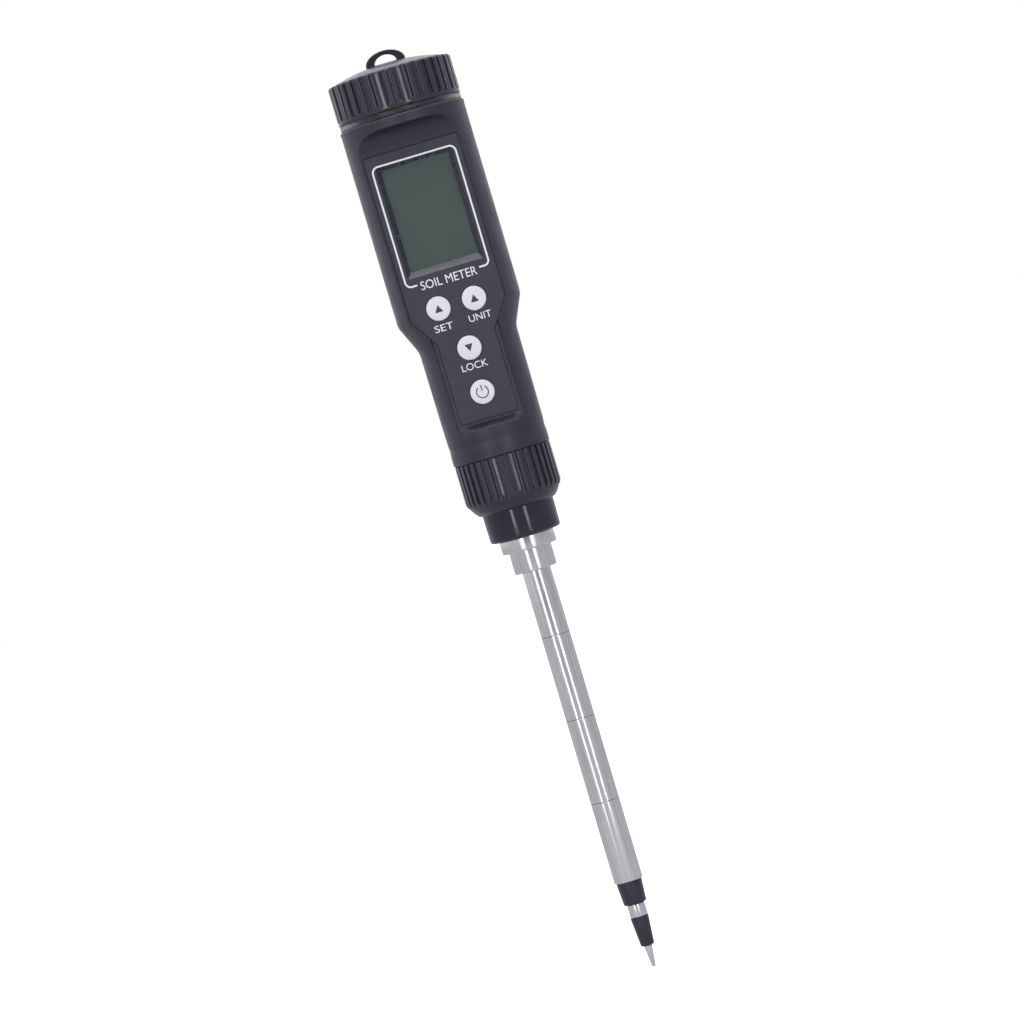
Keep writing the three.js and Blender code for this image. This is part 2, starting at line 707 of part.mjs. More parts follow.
function steelFlange() {
  const bevel = 0.45;
  return turned([
    [TUBE_HOLE, LEVEL.flangeBottom],
    [RADIUS.flangeStep - bevel, LEVEL.flangeBottom],
    [RADIUS.flangeStep, LEVEL.flangeBottom + bevel],
    [RADIUS.flangeStep, LEVEL.flangeStep],
    [RADIUS.flange - bevel, LEVEL.flangeStep],
    [RADIUS.flange, LEVEL.flangeStep + bevel],
    [RADIUS.flange, LEVEL.sleeveBottom - GAP],
    [TUBE_HOLE, LEVEL.sleeveBottom - GAP],
    [TUBE_HOLE, LEVEL.flangeBottom],
  ], MID_SIDES);
}

// The engraved depth lines of the tube are shallow grooves 50, 75 and 100 mm above the point.
function probeTube() {
  const groove = { depth: 0.08, half: 0.12 };
  const outside = [50, 75, 100].flatMap((height) => [
    [RADIUS.tube, height - groove.half],
    [RADIUS.tube - groove.depth, height],
    [RADIUS.tube, height + groove.half],
  ]);
  return turned([
    [RADIUS.tubeBore, LEVEL.tubeBottom + 0.05],
    [RADIUS.tube, LEVEL.tubeBottom + 0.05],
    ...outside,
    [RADIUS.tube, LEVEL.tubeTop],
    [RADIUS.tubeBore, LEVEL.tubeTop],
    [RADIUS.tubeBore, LEVEL.tubeBottom + 0.05],
  ], SLIM_SIDES);
}

// The black plastic between tube and ring, with a stem that plugs the end of the tube.
function upperInsulator() {
  const bottom = LEVEL.ringTop + GAP;
  const shoulder = LEVEL.tubeBottom - GAP / 2;
  const stem = RADIUS.tubeBore - 0.15;
  const stemTop = LEVEL.tubeBottom + 5;
  const socketTop = bottom + 2;
  const leadHole = 0.8;
  const body = toSolid(turned([
    [RING.inner, bottom],
    [3.0, bottom],
    [3.4, bottom + 0.5],
    [3.8, shoulder],
    [stem, shoulder],
    [stem, stemTop],
    [leadHole, stemTop],
    [leadHole, socketTop],
    [RING.inner, socketTop],
    [RING.inner, bottom],
  ], SLIM_SIDES));
  const ringLeadHole = rod(0.65, bottom - 1, stemTop + 1).translate(-LEAD.circle, 0, 0);
  return toGeometry(cut(body, ringLeadHole));
}

// The black plastic between ring and tip, with a stem that runs up through the ring.
function lowerInsulator() {
  const bottom = LEVEL.tipTop + GAP;
  const top = LEVEL.lowerInsulatorTop - GAP / 2;
  const tipHole = TIP.stem + 0.15;
  const tipHoleTop = top - 0.8;
  const stem = RING.inner - 0.15;
  const stemTop = LEVEL.ringTop + 1.9;
  const leadHole = 0.7;
  return turned([
    [tipHole, bottom],
    [1.5, bottom],
    [2.05, bottom + 0.6],
    [2.7, top],
    [stem, top],
    [stem, stemTop],
    [leadHole, stemTop],
    [leadHole, tipHoleTop],
    [tipHole, tipHoleTop],
    [tipHole, bottom],
  ], SLIM_SIDES);
}

function tipElectrode() {
  return turned([
    [0, 0],
    [TIP.point, 0],
    [TIP.point + TIP.round, TIP.round],
    [TIP.shoulder, LEVEL.tipTop],
    [TIP.stem, LEVEL.tipTop],
    [TIP.stem, TIP.stemTop],
    [0, TIP.stemTop],
  ], SLIM_SIDES);
}

function ringElectrode() {
  return tube(RING.inner, RING.outer, LEVEL.lowerInsulatorTop + GAP / 2, LEVEL.ringTop - GAP / 2, SLIM_SIDES);
}

function thermistorBead() {
  const { x, radius, bottom, top } = THERMISTOR;
  const round = 0.6;
  const profile = [[0, bottom], [radius, bottom + round], [radius, top - round], [0, top]];
  return turned(profile, SMALL_SIDES).translate(x, 0, 0);
}

// A lead from a contact pin down into the tube, then straight on to its lower end.
function probeLead([pinX, pinY], foot, radius = LEAD.radius) {
  const inTube = [foot[0], foot[1], LEVEL.tubeTop - 1];
  const underPin = [pinX, pinY, PIN.bottom - 0.2];
  const route = [foot, inTube, underPin].map((point) => new THREE.Vector3(...point));
  const path = new THREE.CurvePath();
  path.add(new THREE.LineCurve3(route[0], route[1]));
  path.add(new THREE.LineCurve3(route[1], route[2]));
  return wire(path, radius, 12, 4);
}

function probePieces() {
  const pins = pinPlaces();
  const { x, leadHalf, top } = THERMISTOR;
  const beadTop = top + 0.2;
  const overRing = [-LEAD.circle, 0, LEVEL.ringTop + 0.3];
  const overTip = [0, 0, TIP.stemTop + 0.3];
  return [
    piece('probe_sleeve', probeSleeve(), FINISH.gloss),
    piece('probe_plug', probePlug(), FINISH.gloss),
    ...pins.map(([x, y], i) => piece(`contact_pin_${i + 1}`, contactPin(), FINISH.brass, [x, y, 0])),
    piece('face_seal_ring', faceSealRing(), FINISH.rubber),
    piece('steel_flange', steelFlange(), FINISH.steel),
    piece('probe_tube', probeTube(), FINISH.steel),
    piece('upper_insulator', upperInsulator(), FINISH.cap),
    piece('ring_electrode', ringElectrode(), FINISH.steel),
    piece('lower_insulator', lowerInsulator(), FINISH.cap),
    piece('tip_electrode', tipElectrode(), FINISH.steel),
    piece('thermistor', thermistorBead(), FINISH.rubber),
    piece('thermistor_lead_1', probeLead(pins[0], [x, leadHalf, beadTop], LEAD.thin), FINISH.lead),
    piece('thermistor_lead_2', probeLead(pins[3], [x, -leadHalf, beadTop], LEAD.thin), FINISH.lead),
    piece('ring_lead', probeLead(pins[1], overRing), FINISH.lead),
    piece('tip_lead', probeLead(pins[2], overTip), FINISH.lead),
  ];
}

function faceSealRing() {
  const middle = (LEVEL.sleeveTop + LEVEL.lowerNeckBottom) / 2;
  const { radius, section, steps } = FACE_SEAL;
  const profile = [];
  for (let i = 0; i <= steps; i += 1) {
    const angle = (TURN * i) / steps;
    profile.push([radius + section * Math.cos(angle), middle + section * Math.sin(angle)]);
  }
  return turned(profile, SLIM_SIDES);
}

// ---- Assembly ----

function housingPieces() {
  return [
    piece('housing', housing(), FINISH.housing),
    piece('faceplate_label', faceplateLabel(), FINISH.label),
    ...KEYS.map((key) => piece(`push_switch_${key.name}`, pushSwitch(key), FINISH.chip)),
    piece('probe_socket', probeSocket(), FINISH.gloss),
    ...displayPieces(),
    ...batteryPieces(),
  ];
}

const meter = new THREE.Group();
meter.name = 'soil_meter';
meter.add(...housingPieces());
meter.add(...KEYS.map((key) => piece(`key_${key.name}`, keyButton(key), FINISH.key)));
meter.add(...capPieces());
meter.add(piece('collar_nut', collarNut(), FINISH.cap));
meter.add(...probePieces());

export default meter;
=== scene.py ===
# %% [markdown]
# # A pen-shaped soil meter, dressed in Blender
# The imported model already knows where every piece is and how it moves. This script only gives the pieces
# their final surfaces: fine turned and moulded meshes, printed marks, and materials with the right grain
# and wear. It loads that model first, so that every later cell can ask it for sizes.
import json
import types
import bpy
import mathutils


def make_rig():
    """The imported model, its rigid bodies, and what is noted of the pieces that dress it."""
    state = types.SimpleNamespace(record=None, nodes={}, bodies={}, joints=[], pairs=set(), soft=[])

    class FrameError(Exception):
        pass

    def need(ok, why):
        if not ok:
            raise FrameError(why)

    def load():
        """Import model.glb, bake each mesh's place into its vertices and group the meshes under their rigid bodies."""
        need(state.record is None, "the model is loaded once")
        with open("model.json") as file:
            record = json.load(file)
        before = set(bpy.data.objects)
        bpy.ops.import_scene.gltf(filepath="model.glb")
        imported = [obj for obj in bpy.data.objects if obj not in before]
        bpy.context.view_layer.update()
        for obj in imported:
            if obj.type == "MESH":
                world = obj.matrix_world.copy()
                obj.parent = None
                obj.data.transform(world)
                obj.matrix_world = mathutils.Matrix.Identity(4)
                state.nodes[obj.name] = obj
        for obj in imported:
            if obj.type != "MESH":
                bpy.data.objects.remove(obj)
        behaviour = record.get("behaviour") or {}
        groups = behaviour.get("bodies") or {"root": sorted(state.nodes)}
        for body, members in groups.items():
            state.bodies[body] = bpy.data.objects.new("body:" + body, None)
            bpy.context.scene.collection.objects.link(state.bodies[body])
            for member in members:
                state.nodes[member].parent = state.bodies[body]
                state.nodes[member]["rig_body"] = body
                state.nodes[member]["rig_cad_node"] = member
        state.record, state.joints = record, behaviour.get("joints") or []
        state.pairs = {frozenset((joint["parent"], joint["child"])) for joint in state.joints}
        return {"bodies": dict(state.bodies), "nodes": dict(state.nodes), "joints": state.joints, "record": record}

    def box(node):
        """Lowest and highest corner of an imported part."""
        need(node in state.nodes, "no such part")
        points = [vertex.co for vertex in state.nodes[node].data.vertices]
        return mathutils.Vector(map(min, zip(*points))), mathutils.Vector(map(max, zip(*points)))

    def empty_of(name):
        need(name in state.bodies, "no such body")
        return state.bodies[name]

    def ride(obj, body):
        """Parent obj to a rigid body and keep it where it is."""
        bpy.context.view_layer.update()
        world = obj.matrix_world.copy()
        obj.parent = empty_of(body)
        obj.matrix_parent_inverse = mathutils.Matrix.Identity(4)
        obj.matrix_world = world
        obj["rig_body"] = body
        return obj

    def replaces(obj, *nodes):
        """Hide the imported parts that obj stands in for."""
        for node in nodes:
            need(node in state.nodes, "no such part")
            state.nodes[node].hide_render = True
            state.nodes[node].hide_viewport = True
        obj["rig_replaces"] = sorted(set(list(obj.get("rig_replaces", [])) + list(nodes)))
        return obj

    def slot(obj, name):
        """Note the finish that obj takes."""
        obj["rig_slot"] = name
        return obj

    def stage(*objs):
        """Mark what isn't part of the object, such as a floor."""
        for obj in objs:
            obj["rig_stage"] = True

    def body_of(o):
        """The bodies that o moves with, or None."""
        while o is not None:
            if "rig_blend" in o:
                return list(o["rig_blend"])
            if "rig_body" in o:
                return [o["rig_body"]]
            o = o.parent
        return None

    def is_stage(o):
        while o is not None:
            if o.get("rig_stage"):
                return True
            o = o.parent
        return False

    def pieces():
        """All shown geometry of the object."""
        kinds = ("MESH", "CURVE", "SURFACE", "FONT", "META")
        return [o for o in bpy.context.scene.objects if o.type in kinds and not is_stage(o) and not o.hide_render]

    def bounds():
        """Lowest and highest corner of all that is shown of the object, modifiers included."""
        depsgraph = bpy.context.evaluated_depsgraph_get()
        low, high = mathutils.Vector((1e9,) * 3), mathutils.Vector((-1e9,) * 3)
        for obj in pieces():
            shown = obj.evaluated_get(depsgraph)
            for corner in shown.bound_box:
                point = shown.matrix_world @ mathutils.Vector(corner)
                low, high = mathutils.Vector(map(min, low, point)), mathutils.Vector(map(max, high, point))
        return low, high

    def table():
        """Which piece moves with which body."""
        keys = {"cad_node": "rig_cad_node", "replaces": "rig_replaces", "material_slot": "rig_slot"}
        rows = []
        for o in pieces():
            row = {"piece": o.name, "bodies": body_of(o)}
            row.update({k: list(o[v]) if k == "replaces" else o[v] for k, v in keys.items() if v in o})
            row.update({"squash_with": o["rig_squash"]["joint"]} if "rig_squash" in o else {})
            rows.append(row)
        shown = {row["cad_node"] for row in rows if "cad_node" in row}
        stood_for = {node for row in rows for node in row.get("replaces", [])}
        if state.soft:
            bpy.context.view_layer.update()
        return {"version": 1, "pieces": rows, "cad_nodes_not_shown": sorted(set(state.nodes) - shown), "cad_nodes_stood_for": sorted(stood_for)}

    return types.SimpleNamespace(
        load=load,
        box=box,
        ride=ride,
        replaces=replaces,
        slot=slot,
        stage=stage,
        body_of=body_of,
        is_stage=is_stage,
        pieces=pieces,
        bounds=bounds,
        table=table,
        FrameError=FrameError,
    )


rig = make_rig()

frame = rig.load()
cad_low, cad_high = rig.bounds()
print("bodies:", sorted(frame["bodies"]))
print("nodes:", len(frame["nodes"]))

# %% [markdown]
# ## Measuring the frame
# The meter is a stack of round pieces on one axis, so a bottom level, a top level and a radius describe
# most of them. Millimetres are easier to read than metres for an object this small, so the script thinks in
# millimetres and turns them into metres only where a mesh is made.

# %% Levels and radii in millimetres
import json
import math

import bmesh
import bpy
from mathutils import Matrix, Vector

MM = 0.001


def extent(node, axis):
    """Lowest and highest coordinate of a node along one axis, in millimetres."""
    low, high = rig.box(node)
    return low[axis] / MM, high[axis] / MM


def level(node):
    """Bottom and top of a node, in millimetres above the probe's point."""
    return extent(node, 2)


def radius(node):
    """Largest distance of a node from the axis of the meter, in millimetres."""
    return extent(node, 0)[1]


print("whole meter:", [round(v / MM, 1) for v in cad_high - cad_low], "mm")

# %% [markdown]
# ## Skinning rings
# A turned piece is a profile swung around an axis. Blender's Screw modifier does that, but making the rings
# by hand lets the same few lines also carry grip ridges, threads and sloping ends. A ring of one point
# closes an end on the axis, and a profile that returns to its start makes a tube.

# %% Rings into a mesh
def ring(reach, height, sides):
    """A circle of points at one height, or one point where the circle has no size."""
    if reach < 1e-6:
        return [(0, 0, height)]
    turns = (2 * math.pi * i / sides for i in range(sides))
    return [(reach * math.cos(turn), reach * math.sin(turn), height) for turn in turns]


SHARP = 32


def skin(name, rings, closed=False, capped=False, sharp=SHARP):
    """Quads between neighbouring rings of points, listed in millimetres."""
    starts = [sum(len(r) for r in rings[:i]) for i in range(len(rings))]
    pairs = list(zip(range(len(rings) - 1), range(1, len(rings))))
    if closed:
        pairs.append((len(rings) - 1, 0))
    faces = []
    for low, high in pairs:
        count = max(len(rings[low]), len(rings[high]))
        for i in range(count):
            j = (i + 1) % count
            corners = [(low, i), (low, j), (high, j), (high, i)]
            face = dict.fromkeys(starts[k] + n % len(rings[k]) for k, n in corners)
            if len(face) > 2:
                faces.append(list(face))
    if capped:
        faces.append(list(range(starts[0], starts[0] + len(rings[0])))[::-1])
        faces.append(list(range(starts[-1], starts[-1] + len(rings[-1]))))
    points = [Vector(point) * MM for points_of_ring in rings for point in points_of_ring]
    mesh = bpy.data.meshes.new(name)
    mesh.from_pydata(points, [], faces)
    outward = bmesh.new()
    outward.from_mesh(mesh)
    bmesh.ops.recalc_face_normals(outward, faces=outward.faces)
    outward.to_mesh(mesh)
    outward.free()
    return place(name, mesh, sharp)


def place(name, mesh, sharp=SHARP):
    """Links a mesh into the scene, smooth except along edges sharper than an angle in degrees."""
    mesh.shade_smooth()
    mesh.set_sharp_from_angle(angle=math.radians(sharp))
    piece = bpy.data.objects.new(name, mesh)
    bpy.context.scene.collection.objects.link(piece)
    return piece


def turned(name, profile, sides=160):
    """A profile of (radius, height) pairs swung around the axis."""
    closed = profile[0] == profile[-1]
    rings = [ring(reach, height, sides) for reach, height in (profile[:-1] if closed else profile)]
    return skin(name, rings, closed=closed)


# %% [markdown]
# ## Rounded corners
# No moulded or turned edge is perfectly sharp, and the thin highlight along a rounded edge is what makes it
# look real. A profile corner is written as (radius, height, rounding), and this helper swaps it for a short
# arc.

# %% Rounding a profile
def rounded(corners, steps=5, closed=False):
    """Replaces each corner that has a third value, its rounding radius, by an arc of several points."""
    points = []
    count = len(corners)
    for i, corner in enumerate(corners):
        here = Vector(corner[:2])
        if len(corner) < 3 or (not closed and i in (0, count - 1)):
            points.append(tuple(here))
            continue
        before = Vector(corners[i - 1][:2]) - here
        after = Vector(corners[(i + 1) % count][:2]) - here
        half = before.angle(after) / 2
        run = min(corner[2] / math.tan(half), 0.49 * before.length, 0.49 * after.length)
        arc = run * math.tan(half)
        centre = here + (before.normalized() + after.normalized()).normalized() * arc / math.sin(half)
        first = here + before.normalized() * run - centre
        last = here + after.normalized() * run - centre
        for k in range(steps + 1):
            points.append(tuple(centre + first.slerp(last, k / steps) * arc))
    if closed:
        points.append(points[0])
    return points


print("a rounded square corner has", len(rounded([(0, 0), (5, 0, 1), (5, 5)])), "points")

# %% [markdown]
# ## Plates and cutters
# The flat front carries plates whose outline lies in the X-Z plane: the label, the printed marks, the
# display. One helper makes such a plate from an outline. Booleans then cut the window and the key holes,
# because the real mould leaves exactly such crisp openings.

# %% Plates, cuts and joins
def plate(name, outline, front, back):
    """A flat plate from an outline of (x, z) points, between two depths along Y."""
    rings = [[(x, depth, z) for x, z in outline] for depth in (back, front)]
    return skin(name, rings, capped=True)


def circle(x, z, reach, sides=64):
    """The outline of a round hole or disc on the front."""
    turns = (2 * math.pi * i / sides for i in range(sides))
    return [(x + reach * math.cos(turn), z + reach * math.sin(turn)) for turn in turns]


def rectangle(half, bottom, top, corner=0.0):
    """An upright rectangle centred on x = 0, with rounded corners."""
    corners = [(-half, bottom, corner), (half, bottom, corner), (half, top, corner), (-half, top, corner)]
    if not corner:
        return [c[:2] for c in corners]
    return rounded(corners, 6, closed=True)[:-1]


def cut(piece, *cutters):
    """Takes each cutter's volume away from the piece and removes the cutter."""
    for cutter in cutters:
        modifier = piece.modifiers.new("cut", "BOOLEAN")
        modifier.operation = "DIFFERENCE"
        modifier.solver = "EXACT"
        modifier.object = cutter
    mesh = bpy.data.meshes.new_from_object(piece.evaluated_get(bpy.context.evaluated_depsgraph_get()))
    piece.modifiers.clear()
    piece.data = mesh
    mesh.shade_smooth()
    mesh.set_sharp_from_angle(angle=math.radians(SHARP))
    for cutter in cutters:
        bpy.data.objects.remove(cutter)
    return piece


def join(name, *pieces, sharp=SHARP):
    """Several meshes as one object."""
    together = bmesh.new()
    for piece in pieces:
        piece.data.transform(piece.matrix_world)
        together.from_mesh(piece.data)
        bpy.data.objects.remove(piece)
    mesh = bpy.data.meshes.new(name)
    together.to_mesh(mesh)
    together.free()
    return place(name, mesh, sharp)


def moved(piece, x=0, y=0, z=0):
    """Shifts a mesh by millimetres."""
    piece.data.transform(Matrix.Translation(Vector((x, y, z)) * MM))
    return piece


def facing_front(piece, x, z):
    """Turns a piece made along +Z so that it points out of the front, and centres it on x and z."""
    piece.data.transform(Matrix.Rotation(math.radians(90), 4, "X"))
    return moved(piece, x, 0, z)


# %% [markdown]
# ## Node helpers
# Every finish below is built from nodes, so a few short helpers keep the node code readable: one adds a
# node with its settings, one joins sockets. Looks that several materials share, such as mould grain or
# handling marks, are node groups that put out heights and masks. The shader itself always stays in the
# material.

# %% Adding and joining nodes
def add_node(tree, kind, inputs=(), **settings):
    """Adds a node, sets its properties, then its input values by name or number."""
    node = tree.nodes.new(kind)
    for key, value in settings.items():
        setattr(node, key, value)
    for key, value in dict(inputs).items():
        if isinstance(value, bpy.types.NodeSocket):
            tree.links.new(value, node.inputs[key])
        else:
            node.inputs[key].default_value = value
    return node


def new_group(name, inputs, outputs):
    """An empty node group with named number inputs and outputs."""
    group = bpy.data.node_groups.new(name, "ShaderNodeTree")
    for label, value in inputs.items():
        socket = group.interface.new_socket(label, in_out="INPUT", socket_type="NodeSocketFloat")
        socket.default_value = value
    for label in outputs:
        group.interface.new_socket(label, in_out="OUTPUT", socket_type="NodeSocketFloat")
    return group, group.nodes.new("NodeGroupInput").outputs, group.nodes.new("NodeGroupOutput").inputs


def maths(tree, operation, first, second=0.0, clamp=False):
    """A Math node's result."""
    node = add_node(tree, "ShaderNodeMath", {0: first, 1: second}, operation=operation, use_clamp=clamp)
    return node.outputs[0]


def spread(tree, value, low, high, start=0.0, end=1.0, **settings):
    """Maps a value between start and end onto a range from low to high."""
    limits = {"Value": value, "From Min": start, "From Max": end, "To Min": low, "To Max": high}
    return add_node(tree, "ShaderNodeMapRange", limits, **settings).outputs["Result"]


def object_place(tree, stretch=(1, 1, 1)):
    """The place of a point on its piece in millimetres, stretched along each axis."""
    where = add_node(tree, "ShaderNodeTexCoord").outputs["Object"]
    scale = tuple(s / MM for s in stretch)
    mapping = add_node(tree, "ShaderNodeMapping", {"Vector": where, "Scale": scale})
    return mapping.outputs["Vector"]


# %% [markdown]
# ## Mould grain
# Black instrument plastic is moulded against a spark-eroded steel surface, which leaves a fine pebbled skin
# with grains about a tenth to a third of a millimetre across. Two sizes of noise give that skin without
# tiling. The same group also gives a slow mottle, because the gloss of a moulding drifts slightly across
# it.

# %% Group: mould grain
def make_grain_group():
    group, inputs, outputs = new_group(
        "mould_grain", {"Grain Size": 0.25, "Coarseness": 0.5}, ["Height", "Mottle"])
    where = object_place(group)
    scale = maths(group, "DIVIDE", 1.0, inputs["Grain Size"])
    fine = add_node(group, "ShaderNodeTexNoise", {"Vector": where, "Scale": scale, "Detail": 2.0})
    wide = add_node(group, "ShaderNodeTexNoise", {
        "Vector": where, "Scale": maths(group, "MULTIPLY", scale, 0.4)})
    share = maths(group, "MULTIPLY", wide.outputs["Fac"], inputs["Coarseness"])
    group.links.new(maths(group, "ADD", fine.outputs["Fac"], share), outputs["Height"])
    slow = add_node(group, "ShaderNodeTexNoise", {"Vector": where, "Scale": 0.09, "Detail": 3.0})
    group.links.new(slow.outputs["Fac"], outputs["Mottle"])
    return group


GRAIN = make_grain_group()
print("group:", GRAIN.name)

# %% [markdown]
# ## Handling marks and dust
# A meter that is held all day picks up soft smears that change its gloss, and a few specks of dust. Smears
# are wide, stretched noise. Dust is a sparse Voronoi pattern: only the very centre of a few cells counts as
# a speck.

# %% Group: handling marks
def make_handling_group():
    group, inputs, outputs = new_group("handling_marks", {"Smear": 1.0, "Dust": 0.5}, ["Smears", "Specks"])
    smear = add_node(group, "ShaderNodeTexNoise", {
        "Vector": object_place(group, (1.0, 1.0, 0.45)), "Scale": 0.35, "Detail": 4.0, "Distortion": 0.8})
    soft = spread(group, smear.outputs["Fac"], 0, 1, 0.42, 0.68, interpolation_type="SMOOTHSTEP")
    group.links.new(maths(group, "MULTIPLY", soft, inputs["Smear"]), outputs["Smears"])
    cells = add_node(group, "ShaderNodeTexVoronoi", {"Vector": object_place(group), "Scale": 0.32})
    near = maths(group, "LESS_THAN", cells.outputs["Distance"], 0.03)
    rare = maths(group, "LESS_THAN", cells.outputs["Color"], 0.3)
    specks = maths(group, "MULTIPLY", near, rare)
    group.links.new(maths(group, "MULTIPLY", specks, inputs["Dust"]), outputs["Specks"])
    return group


HANDLING = make_handling_group()
print("group:", HANDLING.name)

# %% [markdown]
# ## Turning lines
# The steel pieces come off a lathe. The tool leaves fine rings around the axis, too shallow to see one by
# one, that stretch every highlight along the axis. Noise that changes quickly along Z and hardly at all
# around gives such rings. Drawing and wiping leave faint streaks the other way, along the tube, which vary
# its tone.

# %% Group: turning lines
def make_turning_group():
    group, inputs, outputs = new_group("turning_lines", {"Line Spacing": 0.08}, ["Height", "Sheen"])
    scale = maths(group, "DIVIDE", 1.0, inputs["Line Spacing"])
    fine = add_node(group, "ShaderNodeTexNoise", {
        "Vector": object_place(group, (0.02, 0.02, 1.0)), "Scale": scale, "Detail": 3.0, "Roughness": 0.65})
    group.links.new(fine.outputs["Fac"], outputs["Height"])
    drawn = add_node(group, "ShaderNodeTexNoise", {
        "Vector": object_place(group, (1.0, 1.0, 0.012)), "Scale": 3.2, "Detail": 4.0, "Roughness": 0.6})
    group.links.new(spread(group, drawn.outputs["Fac"], 0, 1, 0.3, 0.7), outputs["Sheen"])
    return group


TURNING = make_turning_group()
print("group:", TURNING.name)

# %% [markdown]
# ## Crest polish and painted crest highlight
# Fingers rub the crests of a grip ring and leave its grooves alone. On a ridged ring the distance from the
# axis tells crests from grooves, so this group turns that distance into a mask, broken up by a little
# noise. The mask gives real polish, a lower roughness, and also a painted highlight: paler crests beside
# grooves that stay dark as painted shade.

# %% Group: crest polish and painted highlight
def make_ridge_top_wear_and_highlight_group():
    group, inputs, outputs = new_group(
        "crest_polish", {"Groove Radius": 17.5, "Crest Radius": 18.2}, ["Crest"])
    where = add_node(group, "ShaderNodeSeparateXYZ", {0: object_place(group)})
    across = add_node(group, "ShaderNodeCombineXYZ", {0: where.outputs["X"], 1: where.outputs["Y"]})
    length = add_node(group, "ShaderNodeVectorMath", {0: across.outputs[0]}, operation="LENGTH")
    rise = spread(group, length.outputs["Value"], 0, 1, inputs["Groove Radius"], inputs["Crest Radius"],
                  interpolation_type="SMOOTHSTEP")
    breaks = add_node(group, "ShaderNodeTexNoise", {
        "Vector": object_place(group), "Scale": 0.9, "Detail": 3.0})
    share = maths(group, "ADD", maths(group, "MULTIPLY", breaks.outputs["Fac"], 0.8), 0.35)
    group.links.new(maths(group, "MULTIPLY", rise, share, clamp=True), outputs["Crest"])
    return group


RIDGE_TOP_WEAR_AND_HIGHLIGHT = make_ridge_top_wear_and_highlight_group()
print("group:", RIDGE_TOP_WEAR_AND_HIGHLIGHT.name)


# %% [markdown]
# ## Plastics
# The handle, the grips and the glossy sleeve are all black plastic and differ in grain, gloss and wear. One
# recipe with a few settings covers them: a near-black base that drifts slightly in tone, smears that dull
# the gloss, dust specks that lighten it, and a bump for the grain. The colour is a cool black, as in the
# real one.

# %% Material recipes: plastics
def new_material(name):
    """A material with nothing but an output and a Principled shader."""
    material = bpy.data.materials.new(name)
    material.use_nodes = True
    tree = material.node_tree
    shader = tree.nodes["Principled BSDF"]
    return material, tree, shader


def use_group(tree, group, **inputs):
    """Places a node group and sets its inputs, with underscores for the spaces in their names."""
    values = {key.replace("_", " "): value for key, value in inputs.items()}
    return add_node(tree, "ShaderNodeGroup", values, node_tree=group)


def blend_colours(tree, share, first, second):
    """A colour between two, by a share from 0 to 1."""
    mix = add_node(tree, "ShaderNodeMix", data_type="RGBA")
    for key, value in ((0, share), (6, first), (7, second)):
        if isinstance(value, bpy.types.NodeSocket):
            tree.links.new(value, mix.inputs[key])
        else:
            mix.inputs[key].default_value = value if key == 0 else (*value, 1)
    return mix.outputs[2]


def bump(tree, shader, height, distance):
    """Feeds a height in millimetres of relief to a shader's normal."""
    node = add_node(tree, "ShaderNodeBump", {"Height": height, "Distance": distance * MM})
    tree.links.new(node.outputs["Normal"], shader.inputs["Normal"])


def plastic(name, dark, light, gloss, grain=0.25, relief=0.01, dust=0.5):
    """A moulded plastic. Gloss is its lowest and highest roughness."""
    material, tree, shader = new_material(name)
    skin_grain = use_group(tree, GRAIN, Grain_Size=grain)
    marks = use_group(tree, HANDLING, Smear=1.0, Dust=dust)
    tone = blend_colours(tree, skin_grain.outputs["Mottle"], dark, light)
    speckled = blend_colours(tree, marks.outputs["Specks"], tone, (0.35, 0.34, 0.33))
    tree.links.new(speckled, shader.inputs["Base Color"])
    dulled = maths(tree, "ADD", spread(tree, marks.outputs["Smears"], gloss[0], gloss[1]),
                   maths(tree, "MULTIPLY", skin_grain.outputs["Mottle"], 0.06))
    tree.links.new(dulled, shader.inputs["Roughness"])
    bump(tree, shader, skin_grain.outputs["Height"], relief)
    return material


def soften_edges(material, width):
    """Rounds the sharp edges of a piece in its shading by a width in millimetres."""
    tree = material.node_tree
    relief = next(node for node in tree.nodes if node.bl_idname == "ShaderNodeBump")
    edge = add_node(tree, "ShaderNodeBevel", {"Radius": width * MM}, samples=6)
    tree.links.new(edge.outputs["Normal"], relief.inputs["Normal"])


def grip_plastic(name, dark, light, gloss, groove, crest):
    """A moulded plastic whose crests are polished by fingers and lightened by a painted highlight."""
    material = plastic(name, dark, light, gloss, grain=0.2, relief=0.006, dust=0.7)
    tree = material.node_tree
    shader = tree.nodes["Principled BSDF"]
    worn_and_lit_crests = use_group(tree, RIDGE_TOP_WEAR_AND_HIGHLIGHT, Groove_Radius=groove, Crest_Radius=crest)
    base = shader.inputs["Base Color"].links[0].from_socket
    # Painted highlight: the crests are lifted towards a cool grey, so the grooves stay darker as painted shade.
    painted_crest_highlight = maths(tree, "MULTIPLY", worn_and_lit_crests.outputs["Crest"], 0.35)
    tree.links.new(blend_colours(tree, painted_crest_highlight, base, (0.05, 0.052, 0.07)), shader.inputs["Base Color"])
    rough = shader.inputs["Roughness"].links[0].from_socket
    polished = maths(tree, "SUBTRACT", rough, maths(tree, "MULTIPLY", worn_and_lit_crests.outputs["Crest"], 0.12))
    tree.links.new(polished, shader.inputs["Roughness"])
    return material


CAP_RADIUS = radius("battery_cap")
COLLAR_RADIUS = radius("collar_nut")
RIDGE_DEPTH = 0.65

